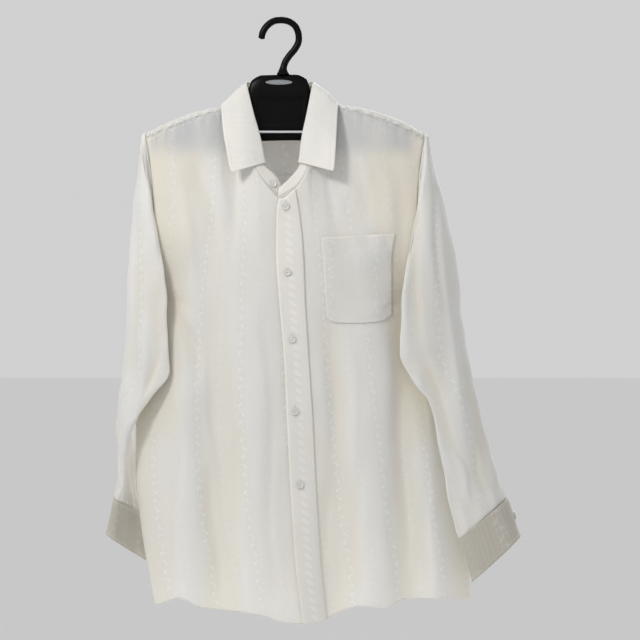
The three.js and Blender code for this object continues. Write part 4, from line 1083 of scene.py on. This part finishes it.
def button_piece(node, centre, out, turned, finish):
    """A dished disc with a rounded rim, four holes and two bars of thread."""
    rings = np.linspace(0, 1, BUTTON_RINGS + 1)[1:, None]
    spokes = 2 * math.pi * np.arange(BUTTON_SPOKES)[None] / BUTTON_SPOKES
    radius, thick = BUTTON["radius"], BUTTON["thick"]
    x, y = radius * rings * np.cos(spokes), radius * rings * np.sin(spokes)
    rim = np.sqrt(np.maximum(0, 1 - smooth(rings, 0.86, 1) ** 2)) * 0.7
    high = thick - 0.7 + rim - 0.55 * (1 - smooth(rings, 0.58, 0.74))
    sunk_and_shaded = np.zeros_like(x)
    for hx, hy in ((1, 1), (1, -1), (-1, 1), (-1, -1)):
        far = np.hypot(x - hx * BUTTON["off"], y - hy * BUTTON["off"])
        sunk_and_shaded = np.maximum(sunk_and_shaded, 1 - smooth(far, BUTTON["hole"] * 0.75, BUTTON["hole"] * 1.15))
    bars = (1 - smooth(np.abs(np.abs(x) - BUTTON["off"]), 0.30, 0.42)) * (1 - smooth(np.abs(y), 1.2, 1.5))
    high = high - sunk_and_shaded * (1 - bars) * 0.9 + bars * 0.35
    top = np.stack([x, y, high], -1).reshape(-1, 3)
    wall = np.stack([np.cos(spokes[0]) * radius * 0.93, np.sin(spokes[0]) * radius * 0.93, spokes[0] * 0], 1)
    middle = np.array([[0, 0, thick - 1.25], [0, 0, 0]])
    points = np.concatenate([top, wall, middle])
    tone = np.stack([bars, sunk_and_shaded * (1 - bars), x * 0], -1).reshape(-1, 3)
    tone = np.concatenate([tone, wall * 0, middle * 0])
    grid, quads = tube_of(BUTTON_RINGS + 1, BUTTON_SPOKES)
    faces = quads.tolist() + fans_of(grid)
    out = out / np.linalg.norm(out)
    aside = np.cross(turned, out)
    aside /= np.linalg.norm(aside)
    axes = np.stack([aside, np.cross(out, aside), out])
    placed = centre + out * LAYER + points @ axes
    return piece_of(node + "_pearl", placed, faces, node, finish, None, {"pearly": tone})


pearl = pearl_finish()
flat_z = placket_face.reshape(-1, 3)
placket_out = normals_of(placket_face).reshape(-1, 3)
for number, (x, z) in enumerate(FRONT_BUTTONS, 1):
    near = np.argmin(np.hypot(flat_z[:, 0] - x, flat_z[:, 2] - z))
    centre = flat_z[near] + np.array([x - flat_z[near, 0], 0, z - flat_z[near, 2]])
    turned = UP + np.array([0.1 * number, 0, 0])
    button_piece(f"button_front_{number}", centre, placket_out[near], turned, pearl)
at = (STAND["rows"] // 2, int(round(1.9 * STAND["columns"] / 32)))
button_piece("button_stand", stand_face[at], normals_of(stand_face, flip=True)[at], UP, pearl)
for name in ("right", "left"):
    face = cuff_faces[name]
    at = (12, (CUFF["turns"] + CUFF["overlap"] - 1) * CUFF_STEPS)
    button_piece(f"button_cuff_{name}", face[at], normals_of(face)[at], UP, pearl)


# ---------------------------------------------------------------------------------------------
# The hanger: a wide black moulding with a shallow panel in its middle, thick shoulders, and the
# hook moulded in one with it.
HANGER = (  # x, top, foot, half its thickness
    (-187, -170, -188, 8), (-178, -164, -190, 12), (-150, -153, -188, 12.5), (-118, -142.5, -184, 11.5),
    (-84, -133, -179, 10.5), (-64, -127, -176, 10), (-53, -122, -174, 8.5), (-50, -110, -174, 8),
    (-48, -96, -173, 8), (-43, -83, -173, 9), (-27, -75.5, -172, 10), (21, -74.5, -171, 10),
    (37, -81, -172, 9), (42, -95, -173, 8), (44.5, -109, -173, 8), (47.5, -120, -175, 8.5),
    (62, -125, -177, 10), (82, -131, -179, 10.5), (120, -140.5, -184, 11.5), (158, -152, -188, 12.5),
    (190, -165, -191, 12), (198, -171, -189, 8),
)
PANEL = {"left": -37, "right": 34.5, "top": -108, "foot": -150, "depth": 1.6, "soft": 2.6}
HANGER_STEPS, HANGER_SIDES = 300, 132
HOOK = (
    (-29, -23), (-27.5, -14), (-21, -3.5), (-11, 3.5), (0, 5), (11, 3), (20.5, -4), (25, -15), (25, -27),
    (20, -37), (11, -48), (5, -58), (3, -66), (2.6, -76),
)
HOOK_ROD = 5


def moulded_black():
    finish = Finish("moulded_black", Specular_IOR_Level=0.09)
    cloud = finish.noise(60.0, 3.0)
    grain = finish.noise(2600.0, 2.0)
    dust = (finish.noise(420.0, 4.0) - 0.62).of("MAXIMUM", 0) * 2
    return finish.feed(
        Base_Color=finish.tint(cloud * 0.5 + dust, (0.001, 0.001, 0.0015, 1), (0.004, 0.004, 0.005, 1)),
        Roughness=0.24 + cloud * 0.16 + dust * 0.3,
        Normal=finish.bump(grain * 0.12 + cloud * 0.15, 0.001, 0.35),
    )


def rounded(value):
    """Turns a circle's sine or cosine into that of a square with rounded corners."""
    return np.sign(value) * np.abs(value) ** 0.62


def within(value, low, high):
    """1 between two places, falling to 0 at both over the panel's soft edge."""
    soft = PANEL["soft"]
    return smooth(value, low, low + soft) * smooth(-value, -high, -high + soft)


black = moulded_black()
start, end = HANGER[0][0], HANGER[-1][0]
x = np.linspace(start, end, HANGER_STEPS + 1)
spread = np.sin(np.linspace(-math.pi / 2, math.pi / 2, HANGER_STEPS + 1))
x = mix(x, start + (spread + 1) / 2 * (end - start), 0.25)  # closer together at both ends
shape = through(HANGER)(x)
turn = 2 * math.pi * np.arange(HANGER_SIDES)[None] / HANGER_SIDES
deep = shape[:, 2:] * rounded(np.sin(turn))
high = mix(shape[:, 1:2], shape[:, :1], (1 + rounded(np.cos(turn))) / 2)
long = x[:, None] * np.ones_like(high)
inside = within(long, PANEL["left"], PANEL["right"]) * within(high, PANEL["foot"], PANEL["top"])
deep = deep - np.sign(deep) * inside * PANEL["depth"]
tube = np.stack([long, deep, high], -1)
points = np.concatenate([tube.reshape(-1, 3), [tube[0].mean(0), tube[-1].mean(0)]])
grid, quads = tube_of(HANGER_STEPS + 1, HANGER_SIDES)
faces = quads[:, ::-1].tolist() + fans_of(grid)
piece_of("hanger_moulding", points, faces, "hanger_body", black)


def rod_piece(name, path, radius, node, finish, steps=160, sides=28, flare=0.0):
    """A round rod along a smooth path in a plane, with rounded ends."""
    path = np.array(path, float)
    knots = np.concatenate([[0], np.cumsum(np.linalg.norm(np.diff(path, axis=0), axis=1))])
    slope = np.gradient(path, knots, axis=0)
    at = np.linspace(0, knots[-1], steps + 1)
    i = np.clip(np.searchsorted(knots, at) - 1, 0, len(knots) - 2)
    gap = (knots[i + 1] - knots[i])[:, None]
    t = ((at - knots[i]) / gap[:, 0])[:, None]
    middle = (2 * t**3 - 3 * t**2 + 1) * path[i] + (t**3 - 2 * t**2 + t) * gap * slope[i]
    middle = middle + (3 * t**2 - 2 * t**3) * path[i + 1] + (t**3 - t**2) * gap * slope[i + 1]
    way = np.gradient(middle, axis=0)
    way /= np.linalg.norm(way, axis=1, keepdims=True)
    plane = np.cross(path[1] - path[0], path[len(path) // 2] - path[0])
    flat = plane / np.linalg.norm(plane)
    up = np.cross(way, flat)
    from_end = np.minimum(at, knots[-1] - at)
    thick = radius * np.sqrt(np.clip(1 - (1 - np.minimum(1, from_end / (radius * 0.5))) ** 2, 0.02, 1))
    thick = thick * (1 + flare * np.clip(1 - (knots[-1] - at) / 16, 0, 1) ** 2.2)
    turn = 2 * math.pi * np.arange(sides) / sides
    ring = np.cos(turn)[None, :, None] * flat + np.sin(turn)[None, :, None] * up[:, None]
    tube = middle[:, None] + ring * thick[:, None, None]
    grid, quads = tube_of(steps + 1, sides)
    faces = quads[:, ::-1].tolist() + [grid[0, :-1].tolist(), grid[-1, -2::-1].tolist()]
    return piece_of(name, tube.reshape(-1, 3), faces, node, finish)


rod_piece(
    "hook_rod", [(x, 0, z) for x, z in HOOK], HOOK_ROD, "hanger_hook", black, flare=1.3,
)


# ---------------------------------------------------------------------------------------------
# The trouser bar: a bright steel rod clipped across the front of the hanger's web, and the bare
# oval plate pressed on to the moulding above it.
BAR = {"half": 56, "y": -13.2, "z": -159, "radius": 2, "root": -9.9}
steel = Finish("bright_steel", Metallic=1.0)
steel_cloud = steel.noise(140.0, 3.0)
bright_steel = steel.feed(
    Base_Color=steel.tint(steel_cloud, (0.72, 0.72, 0.74, 1), (0.86, 0.86, 0.88, 1)),
    Roughness=0.12 + steel_cloud * 0.12,
)
half, front, root = BAR["half"], BAR["y"], BAR["root"]
bar_path = [
    (-half, root), (-half + 0.6, front + 0.6), (-half + 4, front), (-20, front),
    (20, front), (half - 4, front), (half - 0.6, front + 0.6), (half, root),
]
rod_piece(
    "trouser_bar", [(x, y, BAR["z"]) for x, y in bar_path], BAR["radius"],
    "hanger_bar", bright_steel, steps=120, sides=24,
)

PLATE = {"x": -3.5, "back": -9.1, "z": -86.5, "wide": 19.5, "tall": 3.6, "deep": 0.9, "edge": 0.35}
PLATE_SIDES = 72
plate_finish = Finish("plate_grey", Metallic=0.35)
plate_cloud = plate_finish.noise(300.0, 3.0)
plate_grey = plate_finish.feed(
    Base_Color=plate_finish.tint(plate_cloud, (0.16, 0.17, 0.18, 1), (0.34, 0.36, 0.37, 1)),
    Roughness=0.3 + plate_cloud * 0.2,
)
turn = 2 * math.pi * np.arange(PLATE_SIDES) / PLATE_SIDES
back, face_y = PLATE["back"], PLATE["back"] - PLATE["deep"]
rings = []
for shrink, y in (
    (0, back), (0, face_y + PLATE["edge"]), (PLATE["edge"], face_y), (1.3, face_y), (1.6, face_y + 0.2),
):
    wide, tall = PLATE["wide"] - shrink, PLATE["tall"] - shrink
    ring = (PLATE["x"] + wide * np.cos(turn), y + 0 * turn, PLATE["z"] + tall * np.sin(turn))
    rings.append(np.stack(ring, 1))
grid, quads = tube_of(len(rings), PLATE_SIDES)
faces = quads[:, [0, 3, 2, 1]].tolist() + [grid[0, -2::-1].tolist(), grid[-1, :-1].tolist()]
piece_of("oval_plate", np.concatenate(rings), faces, "hanger_label", plate_grey, 0)
